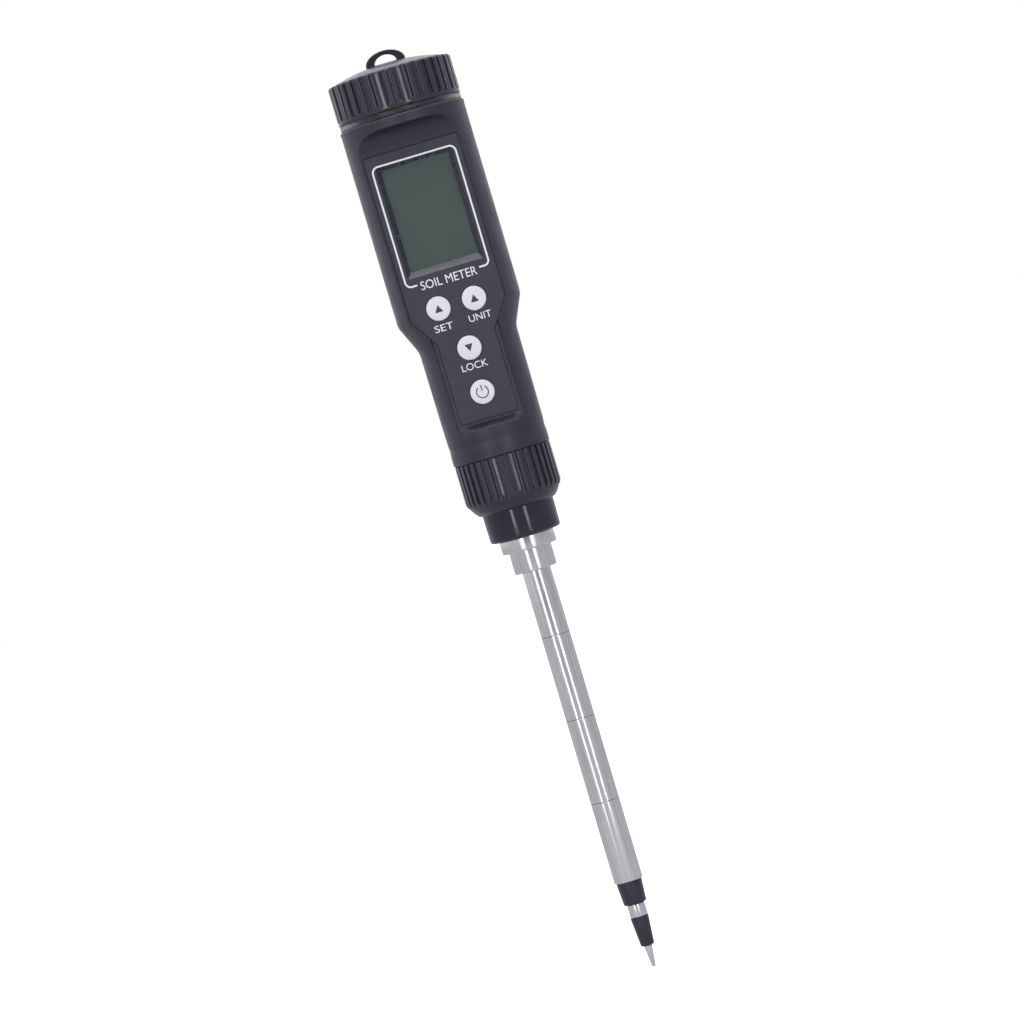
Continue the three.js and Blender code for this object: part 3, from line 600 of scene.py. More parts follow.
HOUSING_PLASTIC = plastic("housing_plastic", (0.009, 0.010, 0.022), (0.013, 0.014, 0.029), (0.36, 0.46),
                          relief=0.016)
soften_edges(HOUSING_PLASTIC, 0.25)
CAP_PLASTIC = grip_plastic(
    "cap_plastic", (0.006, 0.007, 0.016), (0.010, 0.011, 0.022), (0.18, 0.27),
    CAP_RADIUS - RIDGE_DEPTH, CAP_RADIUS)
COLLAR_PLASTIC = grip_plastic(
    "collar_plastic", (0.007, 0.008, 0.018), (0.011, 0.012, 0.024), (0.22, 0.31),
    COLLAR_RADIUS - RIDGE_DEPTH, COLLAR_RADIUS)
GLOSS_PLASTIC = plastic("gloss_plastic", (0.004, 0.005, 0.011), (0.006, 0.007, 0.015), (0.07, 0.14),
                        grain=1.5, relief=0.002, dust=0.6)
INSULATOR_PLASTIC = plastic("insulator_plastic", (0.008, 0.009, 0.020), (0.012, 0.013, 0.026), (0.26, 0.36),
                            grain=0.15, relief=0.004, dust=0.2)
KEY_PLASTIC = plastic("key_plastic", (0.64, 0.64, 0.685), (0.69, 0.69, 0.73), (0.42, 0.52),
                      grain=0.3, relief=0.003, dust=0.0)
WHITE_PLASTIC = plastic("white_plastic", (0.68, 0.69, 0.68), (0.74, 0.75, 0.74), (0.4, 0.5), dust=0.1)
CHIP_PLASTIC = plastic("chip_plastic", (0.012, 0.012, 0.013), (0.018, 0.018, 0.019), (0.5, 0.6),
                       grain=0.12, relief=0.004, dust=0.2)
RUBBER = plastic("black_rubber", (0.015, 0.015, 0.016), (0.022, 0.022, 0.023), (0.6, 0.75),
                 grain=0.4, relief=0.006, dust=0.9)
print("plastics:", sum(m.name.endswith("plastic") for m in bpy.data.materials))

# %% [markdown]
# ## Metals
# The probe is brushed stainless steel, the battery contacts are bright nickel and the pins are brass. All
# three take their gloss and relief from the turning lines. Faint stains make them look used.

# %% Material recipes: metals
def metal(name, dark, light, gloss, spacing=0.08, relief=0.002, stain=0.12):
    """A turned metal. Gloss is its lowest and highest roughness, stain how far it is discoloured."""
    material, tree, shader = new_material(name)
    lines = use_group(tree, TURNING, Line_Spacing=spacing)
    marks = use_group(tree, HANDLING, Smear=1.0, Dust=0.4)
    tone = blend_colours(tree, lines.outputs["Sheen"], dark, light)
    stains = maths(tree, "MULTIPLY", marks.outputs["Smears"], stain)
    tree.links.new(blend_colours(tree, stains, tone, (0.40, 0.38, 0.35)), shader.inputs["Base Color"])
    shader.inputs["Metallic"].default_value = 1.0
    rough = maths(tree, "ADD", spread(tree, lines.outputs["Height"], gloss[0], gloss[1]),
                  maths(tree, "MULTIPLY", marks.outputs["Smears"], 0.05))
    tree.links.new(rough, shader.inputs["Roughness"])
    bump(tree, shader, lines.outputs["Height"], relief)
    return material


STEEL = metal("probe_steel", (0.46, 0.452, 0.45), (0.66, 0.65, 0.65), (0.12, 0.24))
ELECTRODE_STEEL = metal("electrode_steel", (0.50, 0.50, 0.52), (0.62, 0.62, 0.64), (0.16, 0.26), relief=0.001)
NICKEL = metal("nickel_plate", (0.58, 0.56, 0.52), (0.68, 0.66, 0.62), (0.18, 0.3), spacing=0.2, relief=0.001)
BRASS = metal("pin_brass", (0.66, 0.50, 0.22), (0.76, 0.60, 0.30), (0.2, 0.32), spacing=0.05, relief=0.001)
print("metals:", [m.name for m in (STEEL, ELECTRODE_STEEL, NICKEL, BRASS)])

# %% [markdown]
# ## Engraved depth lines
# Three shallow grooves around the tube mark depths of 50, 75 and 100 millimetres. They are coloured darker than the
# tube.
# The tube's own material darkens wherever the height is within a tenth of a millimetre of a groove.

# %% Material: tube with dark grooves
DEPTH_MARKS = (50, 75, 100)


def engraved_steel(name):
    """The probe's steel with dark bands at the depth marks."""
    material = STEEL.copy()
    material.name = name
    tree = material.node_tree
    shader = tree.nodes["Principled BSDF"]
    height = add_node(tree, "ShaderNodeSeparateXYZ", {0: object_place(tree)}).outputs["Z"]
    dark = 0.0
    for mark in DEPTH_MARKS:
        distance = maths(tree, "ABSOLUTE", maths(tree, "SUBTRACT", height, float(mark)))
        dark = maths(tree, "ADD", maths(tree, "LESS_THAN", distance, 0.1), dark)
    base = shader.inputs["Base Color"].links[0].from_socket
    tree.links.new(blend_colours(tree, dark, base, (0.12, 0.115, 0.11)), shader.inputs["Base Color"])
    return material


TUBE_STEEL = engraved_steel("engraved_steel")
print("depth marks at", DEPTH_MARKS, "mm")

# %% [markdown]
# ## Clear and translucent pieces
# The window is a clear hard plastic and the ring under the cap is soft translucent silicone. The silicone
# holds fine bubbles and a little dust, which shows as a slow change of roughness and a fine relief.

# %% Materials: silicone, window, ink and films
def clear(name, colour, rough, index, relief):
    """A clear piece with a slightly uneven surface."""
    material, tree, shader = new_material(name)
    surface = use_group(tree, GRAIN, Grain_Size=0.6)
    marks = use_group(tree, HANDLING, Smear=1.0, Dust=0.8)
    cloud = maths(tree, "MULTIPLY", surface.outputs["Mottle"], 0.2)
    tree.links.new(blend_colours(tree, cloud, colour, (0.7, 0.71, 0.7)), shader.inputs["Base Color"])
    tree.links.new(spread(tree, marks.outputs["Smears"], rough[0], rough[1]), shader.inputs["Roughness"])
    shader.inputs["Transmission Weight"].default_value = 1.0
    shader.inputs["IOR"].default_value = index
    bump(tree, shader, surface.outputs["Height"], relief)
    return material


def matte(name, dark, light, gloss, grain, relief):
    """A printed, coated or laminated surface without dust."""
    return plastic(name, dark, light, gloss, grain=grain, relief=relief, dust=0.0)


SILICONE = clear("clear_silicone", (0.60, 0.61, 0.64), (0.32, 0.42), 1.41, 0.001)
PANE = clear("clear_pane", (0.97, 0.98, 0.97), (0.02, 0.05), 1.49, 0.0004)
LIGHT_GUIDE = matte("light_guide_plastic", (0.75, 0.78, 0.8), (0.8, 0.83, 0.85), (0.2, 0.3), 0.5, 0.002)
DISPLAY = matte("display", (0.088, 0.132, 0.116), (0.098, 0.144, 0.127), (0.16, 0.22), 0.12, 0.0006)
LABEL_FILM = plastic("label_film", (0.022, 0.022, 0.032), (0.027, 0.027, 0.038), (0.5, 0.6),
                     grain=0.16, relief=0.006, dust=0.35)
WINDOW_EDGE = plastic("window_edge", (0.024, 0.026, 0.036), (0.032, 0.034, 0.046), (0.2, 0.3),
                      grain=0.4, relief=0.001)
WHITE_INK = matte("white_ink", (0.72, 0.73, 0.76), (0.78, 0.79, 0.82), (0.45, 0.55), 0.08, 0.002)
DARK_INK = matte("dark_ink", (0.030, 0.030, 0.036), (0.036, 0.036, 0.042), (0.4, 0.5), 0.08, 0.002)
BOARD = matte("board_laminate", (0.012, 0.085, 0.035), (0.018, 0.11, 0.045), (0.28, 0.4), 0.35, 0.006)
INSULATION = matte("lead_insulation", (0.32, 0.02, 0.015), (0.4, 0.03, 0.02), (0.4, 0.5), 0.4, 0.003)
print("materials:", len(bpy.data.materials))

# %% [markdown]
# ## The housing's outside
# The housing is a turned body: a short lip at the foot, a slight waist, a long slim part, a cone and the
# wide part that holds the display, with a rounded shoulder under the cap. Necks with screw threads stand at
# both ends. The CAD gives the levels, so this profile only adds soft corners and more sides.

# %% Housing: levels and profile
HOUSING_LOW, HOUSING_HIGH = level("housing")
LIP_RADIUS, SLIM_RADIUS, WIDE_RADIUS = 14.3, 14.5, radius("housing") - 0.125
LOWER_NECK, UPPER_NECK = 11.5, 14.75
FOOT, TAPER_LOW, TAPER_HIGH, SHOULDER = 154.35, 188.8, 197.4, 255.4

housing_outside = rounded([
    (0, HOUSING_LOW),
    (LOWER_NECK, HOUSING_LOW, 0.4),
    (LOWER_NECK, FOOT),
    (LIP_RADIUS, FOOT, 0.25),
    (LIP_RADIUS, FOOT + 3.0, 2.0),
    (LIP_RADIUS - 0.18, FOOT + 4.8, 2.5),
    (LIP_RADIUS, FOOT + 6.8, 2.0),
    (SLIM_RADIUS, TAPER_LOW, 6.0),
    (WIDE_RADIUS, TAPER_HIGH, 6.0),
    (WIDE_RADIUS, SHOULDER - 1.6),
    (WIDE_RADIUS + 0.12, SHOULDER - 0.5, 0.45),
    (WIDE_RADIUS - 0.3, SHOULDER, 0.2),
    (UPPER_NECK, SHOULDER),
    (UPPER_NECK, HOUSING_HIGH, 0.4),
    (0, HOUSING_HIGH),
], steps=7)
housing = turned("housing_shell", housing_outside, sides=192)
print("housing from", round(HOUSING_LOW, 1), "to", round(HOUSING_HIGH, 1), "mm")

# %% [markdown]
# ## The flat front
# A flat facet is cut across the front for the label. At the top it ends in a hollow curve, like a thumb
# scoop, whose edge draws an arch across the body. At the bottom a short ramp runs out into the round body,
# sooner in the middle than along its straight sides. The cutter is a stack of rows, each with its own depth
# at every x, so both ends come out of one mesh.

# %% Housing: facet cutter
FACET, SEAT, INSIDE, SCOOP = -10.8, -10.2, -8.7, 7.0
RAMP_LOW, RAMP_HIGH, FACET_TOP = 161.0, 164.6, 245.5
RAMP_HALF_WIDTH, RAMP_INSET = 9.7, 0.35


def facet_cutter(columns=96, reach=22.0):
    """The volume that the flat front leaves out of the turned body."""
    xs = [reach * (2 * i / columns - 1) for i in range(columns + 1)]
    rows = []
    for i in range(17):
        share = i / 16
        height = RAMP_LOW + (RAMP_HIGH - RAMP_LOW) * share
        depths = []
        for x in xs:
            edge = abs(x) / RAMP_HALF_WIDTH
            run_out = 1.02 * math.sin(math.pi / 2 * min(1.0, (1 - share) * (1.9 - 0.9 * edge ** 2)))
            inset = RAMP_INSET * (edge ** 3 * min(1.0, 2.5 * share) + 1.02 - run_out)
            body = -math.sqrt(max(LIP_RADIUS ** 2 - x * x, FACET ** 2))
            depths.append(FACET + (body - FACET) * run_out + inset if edge < 1 else FACET - 0.3)
        rows.append((height, depths))
    for i in range(25):
        turn = math.pi / 2 * i / 24
        rows.append((FACET_TOP + SCOOP * math.sin(turn), [FACET - SCOOP * (1 - math.cos(turn))] * len(xs)))
    rings = [[(x, y, z) for x, y in zip(xs, ys)] + [(reach, -30, z), (-reach, -30, z)] for z, ys in rows]
    return skin("facet_cutter", rings, capped=True)


def stepped_outline(grow, corner=0.7):
    """The outline of the label: wide above, slim below."""
    right = [(8.45 + grow, 165.5 - grow, corner), (8.45 + grow, 189.5, 1.5),
             (14.05 + grow, 197.6, 1.5), (14.05 + grow, 246.0 + grow, corner)]
    left = [(-x, z, turn) for x, z, turn in right[::-1]]
    return rounded(right + left, 5, closed=True)[:-1]


cut(housing, facet_cutter())
cut(housing, plate("label_seat", stepped_outline(0.1), SEAT - 2, SEAT))
print("facet from", RAMP_LOW, "to", FACET_TOP + SCOOP, "mm")

# %% [markdown]
# ## Window and key holes
# The window's walls slope inward, so that light from above falls on its lower wall. The four key holes go
# straight through. Their places come from the keys themselves.

# %% Housing: openings
KEYS = {name: [sum(extent("key_" + name, axis)) / 2 for axis in (0, 2)]
        for name in ("cal", "unit", "hold", "power")}
WINDOW_RIM = (11.25, 209.6, 242.5)
WINDOW_FLOOR = (10.05, 211.5, 241.6)


def window_funnel():
    """A tapering plug the shape of the window's opening."""
    rings = []
    for depth in (INSIDE + 0.3, SEAT - 0.3):
        share = (depth - SEAT) / (INSIDE - SEAT)
        half, bottom, top = [rim + (floor - rim) * share for rim, floor in zip(WINDOW_RIM, WINDOW_FLOOR)]
        rings.append([(x, depth, z) for x, z in rectangle(half, bottom, top, 0.5)])
    return skin("window_funnel", rings, capped=True)


cut(housing, window_funnel())
for name, (x, z) in KEYS.items():
    cut(housing, plate("key_hole", circle(x, z, 3.7), FACET - 1, INSIDE + 1))
print("key holes:", KEYS)

# %% [markdown]
# ## The hollow inside
# With the cap or the probe off one can look into the necks, so the housing is really hollow, with a flat
# front wall behind the label. The screw threads are swept along a helix and joined on.

# %% Housing: cavity and threads
THREAD_PITCH, LOWER_THREAD, UPPER_THREAD = 2.5, 147.2, 258.8
THREAD_SECTION = (
    (-0.15, 0.7), (-0.15, -0.7), (0.1, -0.6), (0.58, -0.14), (0.65, 0.0), (0.58, 0.14), (0.1, 0.6))


def thread(wall, start, turns=1.5, outward=1):
    """A V thread on a round wall, tapering to nothing at both ends."""
    steps = int(60 * turns)
    rings = []
    for i in range(steps + 1):
        turn = 2 * math.pi * turns * i / steps
        rise = start + THREAD_PITCH * turns * i / steps
        fade = min(1.0, i / 8 + 0.05, (steps - i) / 8 + 0.05)
        points = []
        for out, along in THREAD_SECTION:
            reach = wall + outward * out * (fade if out > 0 else 1)
            points.append((reach * math.cos(turn), reach * math.sin(turn), rise + along * fade))
        rings.append(points)
    return skin("thread", rings, capped=True)


def housing_cavity():
    """The hollow of the housing, with its flat front wall."""
    hollow = turned("cavity", [
        (0, HOUSING_LOW - 1), (9.9, HOUSING_LOW - 1), (9.9, 161), (12.2, 164), (12.2, 189.6),
        (16, 198.3), (16, SHOULDER - 3), (13.4, SHOULDER - 1.4), (13.4, HOUSING_HIGH + 1),
        (0, HOUSING_HIGH + 1)], sides=128)
    corners = rectangle(22, 161, FACET_TOP + SCOOP)
    return cut(hollow, plate("front_wall", corners, -22, INSIDE))


cut(housing, housing_cavity())
housing = join("housing_shell", housing, thread(LOWER_NECK, LOWER_THREAD), thread(UPPER_NECK, UPPER_THREAD))
print("housing faces:", len(housing.data.polygons))

# %% [markdown]
# ## Grip ridges
# Cap and collar carry 36 straight ridges with flat crests. Each ring of points has 16 points per ridge, and
# its radius drops into a groove between crests. The drop can fade to nothing, so that the ridges end in a
# smooth rim.

# %% Ridged rings
RIDGES, POINTS_PER_RIDGE, GRIP_SHARP = 36, 16, 40


def groove(share, crest=0.46, root=0.34):
    """How deep the surface lies at a place between two crests, from 0 on a crest to 1 in a groove."""
    away = abs((share + 0.5) % 1 - 0.5) * 2
    t = min(max((away - crest) / (1 - root - crest), 0), 1)
    return t * t * (3 - 2 * t)


def ridged_ring(reach, height, amount=0.0):
    """A ring whose grooves are cut to a share of the full ridge depth."""
    count = RIDGES * POINTS_PER_RIDGE
    points = []
    for i in range(count):
        turn = 2 * math.pi * i / count
        out = reach - RIDGE_DEPTH * amount * groove(i / POINTS_PER_RIDGE)
        points.append((out * math.cos(turn), out * math.sin(turn), height))
    return points


def ridged(name, rows, closed=False):
    """A turned grip from rows of (radius, height, groove amount), where a radius of 0 closes an end."""
    rings = [ridged_ring(*row) if row[0] else [(0, 0, row[1])] for row in rows]
    return skin(name, rings, closed=closed, sharp=GRIP_SHARP)


# %% [markdown]
# ## The battery cap
# The cap starts with a plain rim, then the ridges rise out of it, and at the top they run out over a
# rounded edge into a low dome. It is hollow with a ceiling that carries the contact plate, and a thread
# runs inside.

# %% Battery cap
CAP_LOW, CAP_HIGH = level("battery_cap")
DOME_REACH, DOME_RISE = 17.05, 2.6
CAP_EDGE, CAP_CEILING, CAP_BORE = CAP_HIGH - DOME_RISE, 266.5, 15.7
dome_radius = (DOME_REACH ** 2 + DOME_RISE ** 2) / (2 * DOME_RISE)


def dome_height(reach):
    """Height of the domed top at a distance from the axis."""
    return CAP_HIGH - dome_radius + math.sqrt(dome_radius ** 2 - reach ** 2)


cap_rows = [
    (17.85, CAP_LOW), (18.05, CAP_LOW + 0.06), (18.15, CAP_LOW + 0.2), (18.15, CAP_LOW + 0.95),
    (18.16, CAP_LOW + 1.1, 0.0), (18.17, CAP_LOW + 1.2, 0.35), (18.18, CAP_LOW + 1.35, 0.7),
    (18.19, CAP_LOW + 1.6, 0.93), (18.2, CAP_LOW + 2.0, 1.0), (18.2, CAP_EDGE - 1.1, 1.0),
    (18.2, CAP_EDGE - 0.8, 1.0),
    (18.14, CAP_EDGE - 0.5, 0.98), (17.98, CAP_EDGE - 0.25, 0.88), (17.75, CAP_EDGE - 0.08, 0.7),
    (17.45, CAP_EDGE + 0.02, 0.4), (17.2, dome_height(17.2) + 0.02, 0.15),
]
cap_rows += [(r, dome_height(r)) for r in (17.0, 16.5, 15.5, 14, 12, 10, 8, 6, 4, 2, 1)]
cap_bore = [(0, CAP_CEILING), (14.5, CAP_CEILING), (CAP_BORE - 0.3, CAP_CEILING),
            (CAP_BORE, CAP_CEILING - 0.3), (CAP_BORE, CAP_LOW + 0.3), (CAP_BORE + 0.2, CAP_LOW)]
cap_shell = ridged("cap_shell", cap_bore + cap_rows + [(0, CAP_HIGH)])
cap_thread = thread(CAP_BORE, UPPER_THREAD + THREAD_PITCH / 2, outward=-1)
battery_cap = join("cap_body", cap_shell, cap_thread, sharp=GRIP_SHARP)
print("cap faces:", len(battery_cap.data.polygons))

# %% [markdown]
# ## The lanyard loop
# A flat strap loop rises from the middle of the dome. It is a rounded rectangle swept along a half ellipse
# that is thick where it meets the dome and thin at the top, with its feet sunk into the cap.

# %% Lanyard loop
def strap_section(inner, outer, half, corner=0.35):
    """A rounded rectangle between an inner and an outer point in the X-Z plane."""
    inner, outer = Vector(inner), Vector(outer)
    across = (outer - inner).length
    corners = [(0, -half, corner), (across, -half, corner), (across, half, corner), (0, half, corner)]
    way = (outer - inner).normalized()
    return [(inner.x + way.x * u, v, inner.y + way.y * u) for u, v in rounded(corners, 4, closed=True)[:-1]]


def strap_loop():
    """The loop's rings from one foot over the top to the other foot."""
    base = CAP_HIGH + 0.05
    rings = []
    for i in range(-4, 53):
        turn = math.pi * min(max(i, 0), 48) / 48
        sink = (min(i, 0) if i < 24 else min(48 - i, 0)) * 0.33
        inner = (3.2 * math.cos(turn), base + sink + 2.35 * math.sin(turn))
        outer = (5.8 * math.cos(turn), base + sink + 3.55 * math.sin(turn))
        rings.append(strap_section(inner, outer, 1.5))
    return skin("loop_strap", rings, capped=True, sharp=50)


loop = strap_loop()
print("loop rises", round(level("lanyard_loop")[1] - CAP_HIGH, 1), "mm over the dome")

# %% [markdown]
# ## The ring under the cap
# A translucent silicone ring sits between shoulder and cap. It is a plain band with small rounds on its
# edges, pale where light passes through its rim.

# %% Silicone ring
SEAL_LOW, SEAL_HIGH = level("cap_seal_ring")
SEAL_OUT = radius("cap_seal_ring")
seal_ring = turned("silicone_ring", rounded([
    (15.75, SEAL_LOW, 0.2), (SEAL_OUT, SEAL_LOW, 0.3), (SEAL_OUT, SEAL_HIGH, 0.3), (15.75, SEAL_HIGH, 0.2),
], closed=True), sides=192)
print("silicone ring:", round(SEAL_HIGH - SEAL_LOW, 2), "mm high")

# %% [markdown]
# ## The union collar
# The collar that holds the probe is the cap's smaller relative. Below its ridges a smooth, glossy cone
# leads down to the sleeve, and the ridges start on the cone with a short rounded ramp.

# %% Union collar
COLLAR_LOW = level("collar_nut")[0]
COLLAR_HIGH = FOOT - 0.08
COLLAR_BORE, COLLAR_LIP, PLUG_LOW = 12.45, 10.95, 141.1
collar_rows = [
    (11.05, COLLAR_LOW), (11.4, COLLAR_LOW + 0.12), (12.2, COLLAR_LOW + 1.0), (12.9, COLLAR_LOW + 1.95),
    (13.4, COLLAR_LOW + 2.8), (13.62, COLLAR_LOW + 3.15, 0.1), (13.82, COLLAR_LOW + 3.5, 0.4),
    (13.98, COLLAR_LOW + 3.85, 0.75), (14.08, COLLAR_LOW + 4.2, 0.93), (14.14, COLLAR_LOW + 4.6, 1.0),
    (14.15, COLLAR_LOW + 5.2, 1.0), (14.15, COLLAR_HIGH - 1.0, 1.0), (14.13, COLLAR_HIGH - 0.6, 1.0),
    (14.08, COLLAR_HIGH - 0.3, 0.95), (14.0, COLLAR_HIGH - 0.1, 0.8), (13.85, COLLAR_HIGH, 0.5),
    (13.3, COLLAR_HIGH), (COLLAR_BORE + 0.2, COLLAR_HIGH), (COLLAR_BORE, COLLAR_HIGH - 0.25),
    (COLLAR_BORE, PLUG_LOW), (COLLAR_LIP, PLUG_LOW),
    (COLLAR_LIP, COLLAR_LOW + 0.05),
]
collar_thread = thread(COLLAR_BORE, LOWER_THREAD - THREAD_PITCH / 2, outward=-1)
collar_shell = ridged("collar_shell", collar_rows, closed=True)
collar = join("collar_body", collar_shell, collar_thread, sharp=GRIP_SHARP)
print("collar faces:", len(collar.data.polygons))

# %% [markdown]
# ## Sleeve, flange and tube
# Below the collar the probe is a plain stack of turned pieces: a glossy black sleeve, a stepped steel
# flange and the long tube. Each gets its edge rounding, and the tube gets three engraved grooves.

# %% Sleeve, flange and tube
TUBE_HOLE = 4.4
sleeve = turned("gloss_sleeve", rounded([
    (TUBE_HOLE, 129.9), (10.45, 129.9, 1.0), (10.65, 141.3), (11.9, 141.3, 0.15), (11.9, 143.3, 0.15),
    (8.2, 143.3), (8.2, 139.0), (TUBE_HOLE, 139.0)], steps=8, closed=True))
flange = turned("stepped_flange", rounded([
    (TUBE_HOLE, 119.6), (6.3, 119.6, 0.4), (6.3, 126.0), (8.1, 126.0, 0.45), (8.1, 129.8, 0.12),
    (TUBE_HOLE, 129.8)], steps=6, closed=True))

TUBE_OUT, TUBE_IN = radius("probe_tube"), 3.55
TUBE_LOW, TUBE_HIGH = level("probe_tube")
tube_profile = [(TUBE_IN, TUBE_LOW), (TUBE_OUT, TUBE_LOW, 0.12)]
for mark in DEPTH_MARKS:
    tube_profile += [(TUBE_OUT, mark - 0.13), (TUBE_OUT - 0.09, mark), (TUBE_OUT, mark + 0.13)]
tube_profile += [(TUBE_OUT, TUBE_HIGH, 0.12), (TUBE_IN, TUBE_HIGH)]
tube = turned("engraved_tube", rounded(tube_profile, closed=True), sides=128)
print("tube:", round(2 * TUBE_OUT, 2), "mm across,", round(TUBE_HIGH - TUBE_LOW, 1), "mm long")

# %% [markdown]
# ## The sensing end
# Two steel electrodes, a ring and a slim point, stand between black insulators. The insulators swell
# towards the steel above them and have softly rounded lower edges.

# %% Insulators and electrodes
INSULATOR_STEP = 25.85
upper_insulator = turned("upper_insulator_turned", rounded([
    (2.0, 19.1), (3.35, 19.1, 0.45), (3.8, INSULATOR_STEP, 0.12), (3.4, INSULATOR_STEP), (3.4, 30.9),
    (0.8, 30.9), (0.8, 21.1), (2.0, 21.1)], closed=True), sides=96)
ring_electrode = turned("ring_electrode_turned", rounded([
    (2.0, 15.25), (2.6, 15.25, 0.1), (2.6, 18.95, 0.1), (2.0, 18.95)], closed=True), sides=96)
lower_insulator = turned("lower_insulator_turned", rounded([
    (1.05, 6.4), (2.0, 6.4, 0.55), (2.7, 15.15, 0.1), (1.85, 15.15), (1.85, 20.9), (0.7, 20.9), (0.7, 14.35),
    (1.05, 14.35)], closed=True), sides=96)
tip = turned("tip_electrode_turned", rounded([
    (0, 0), (0.55, 0, 0.3), (1.2, 6.3, 0.05), (0.9, 6.3), (0.9, 14.0), (0, 14.0)]), sides=96)
print("the tube starts", INSULATOR_STEP, "mm above the point")

# %% [markdown]
# ## Plug, pins and socket
# With the collar off the probe pulls out and shows its plug: a black disc with four brass pins that go up
# into holes of the socket. The socket's holes are slightly wider, so that the pins slide in.

# %% Plug, pins and socket
PIN_REACH = 4
PIN_PLACES = [(PIN_REACH * math.cos(turn), PIN_REACH * math.sin(turn))
              for turn in (math.pi * (i / 2 + 0.25) for i in range(4))]


def pin_holes(wide, low, high):
    """Round cutters at the places of the pins."""
    return [moved(turned("hole", [(0, low), (wide, low), (wide, high), (0, high)], sides=40), x, y)
            for x, y in PIN_PLACES]


plug = cut(turned("plug_turned", rounded([
    (0, PLUG_LOW), (7.9, PLUG_LOW), (7.9, 143.4), (9.5, 143.4, 0.1), (9.5, 150.9, 0.4), (8.9, 151.7, 0.5),
    (0, 151.7)])), *pin_holes(0.75, 130, 160))
socket = cut(turned("socket_turned", rounded([
    (0, 152.2), (9.6, 152.2, 0.3), (9.6, 160.5, 0.2), (0, 160.5)])), *pin_holes(1.0, 150, 158.5))
pins = {}
for i, (x, y) in enumerate(PIN_PLACES):
    pins["contact_pin_%d" % (i + 1)] = moved(turned("pin_turned_%d" % (i + 1), rounded([
        (0, 140.4), (0.6, 140.4), (0.6, 156.7, 0.4), (0.35, 157.5, 0.25), (0, 157.5)]), sides=40), x, y)
FACE_SEAL_REACH, FACE_SEAL_HEIGHT, FACE_SEAL_WIDE = 10.75, 144.25, 0.85
seal_turns = [math.pi * i / 12 for i in range(24)]
face_seal = turned("face_seal_turned", [
    (FACE_SEAL_REACH + FACE_SEAL_WIDE * math.cos(turn), FACE_SEAL_HEIGHT + FACE_SEAL_WIDE * math.sin(turn))
    for turn in seal_turns] + [(FACE_SEAL_REACH + FACE_SEAL_WIDE, FACE_SEAL_HEIGHT)], sides=128)
print("pins:", len(pins))

# %% [markdown]
# ## Battery carrier, cells and contact plate
# With the cap off two stacks of button cells show in their wells. A button cell is a steel can with a step
# and a thin dark gasket line around its lower cap. The carrier's wells widen at the top, so that cells
# slide in.

# %% Batteries
CELL_PLACES = {name: [sum(extent(name, axis)) / 2 for axis in (0, 1)] + [level(name)[0]]
               for name in ("button_cell_1", "button_cell_2", "button_cell_3", "button_cell_4")}
cells = {}
for name, (x, y, low) in CELL_PLACES.items():
    cells[name] = moved(turned(name + "_can", rounded([
        (0, 0), (4.6, 0), (4.75, 0.45, 0.15), (5.1, 0.6, 0.1), (5.1, 0.75), (5.8, 0.75, 0.1),
        (5.8, 5.4, 0.55), (4.9, 5.4, 0.1), (4.8, 5.32, 0.05), (0, 5.32)]), sides=96), x, y, low)

carrier = turned("carrier_turned", rounded([
    (0, 250.6), (13.1, 250.6), (13.1, 265.1), (14.55, 265.1), (14.55, 265.7, 0.25), (0, 265.7)]))
cut(carrier, plate("carrier_front", rectangle(20, 248, FACET_TOP + SCOOP + 0.3), -22, INSIDE + 0.3))
wells = [moved(turned("well", rounded([
    (0, 252.6), (6.0, 252.6), (6.0, 265.45), (6.4, 265.9), (0, 265.9)]), sides=96), x) for x in (-6.45, 6.45)]
cut(carrier, *wells)
contact_plate = turned("contact_plate_turned", rounded([
    (0, 265.95), (14.0, 265.95, 0.12), (14.0, 266.4, 0.12), (0, 266.4)]))
print("cells at", {name: [round(v, 2) for v in spot] for name, spot in CELL_PLACES.items()})

# %% [markdown]
# ## Keys
# Each key is a round pad of silicone with a soft edge and a very slightly domed face, on a wider flange
# that keeps it behind the label.

# %% Keys
KEY_FRONT, KEY_FLANGE, KEY_BACK = 11.0, 8.5, 7.7
keys = {}
for name, (x, z) in KEYS.items():
    keys[name] = facing_front(turned("pad_" + name, rounded([
        (0, KEY_BACK), (4.2, KEY_BACK, 0.1), (4.2, KEY_FLANGE, 0.1), (3.5, KEY_FLANGE),
        (3.5, KEY_FRONT - 0.08, 0.38), (2.2, KEY_FRONT - 0.02, 3.0), (0, KEY_FRONT)]), sides=96), x, z)
print("keys:", list(keys))

# %% [markdown]
# ## The label
# The label is a film with a window and four holes. It is a little smaller than its pocket, so a dark line
# shows all round it.

# %% Label
LABEL_FRONT, LABEL_BACK = extent("faceplate_label", 1)
label = plate("label_sheet", stepped_outline(-0.05), LABEL_FRONT, LABEL_BACK)
cut(label, plate("label_window", rectangle(*WINDOW_RIM, 0.5), LABEL_FRONT - 1, LABEL_BACK + 1))
for x, z in KEYS.values():
    cut(label, plate("label_hole", circle(x, z, 3.72), LABEL_FRONT - 1, LABEL_BACK + 1))
print("label depth:", round(LABEL_FRONT, 2), "to", round(LABEL_BACK, 2), "mm")

# %% [markdown]
# ## Printing
# White ink draws a line round the window that stops at both sides of the title. The words are plain ones
# for what the thing is and what its keys do. Ink is about a hundredth of a millimetre thick.

# %% Printed line and words
INK, CAPITAL = 0.02, 0.729      # how thick the ink is, and how tall Blender's own capitals are


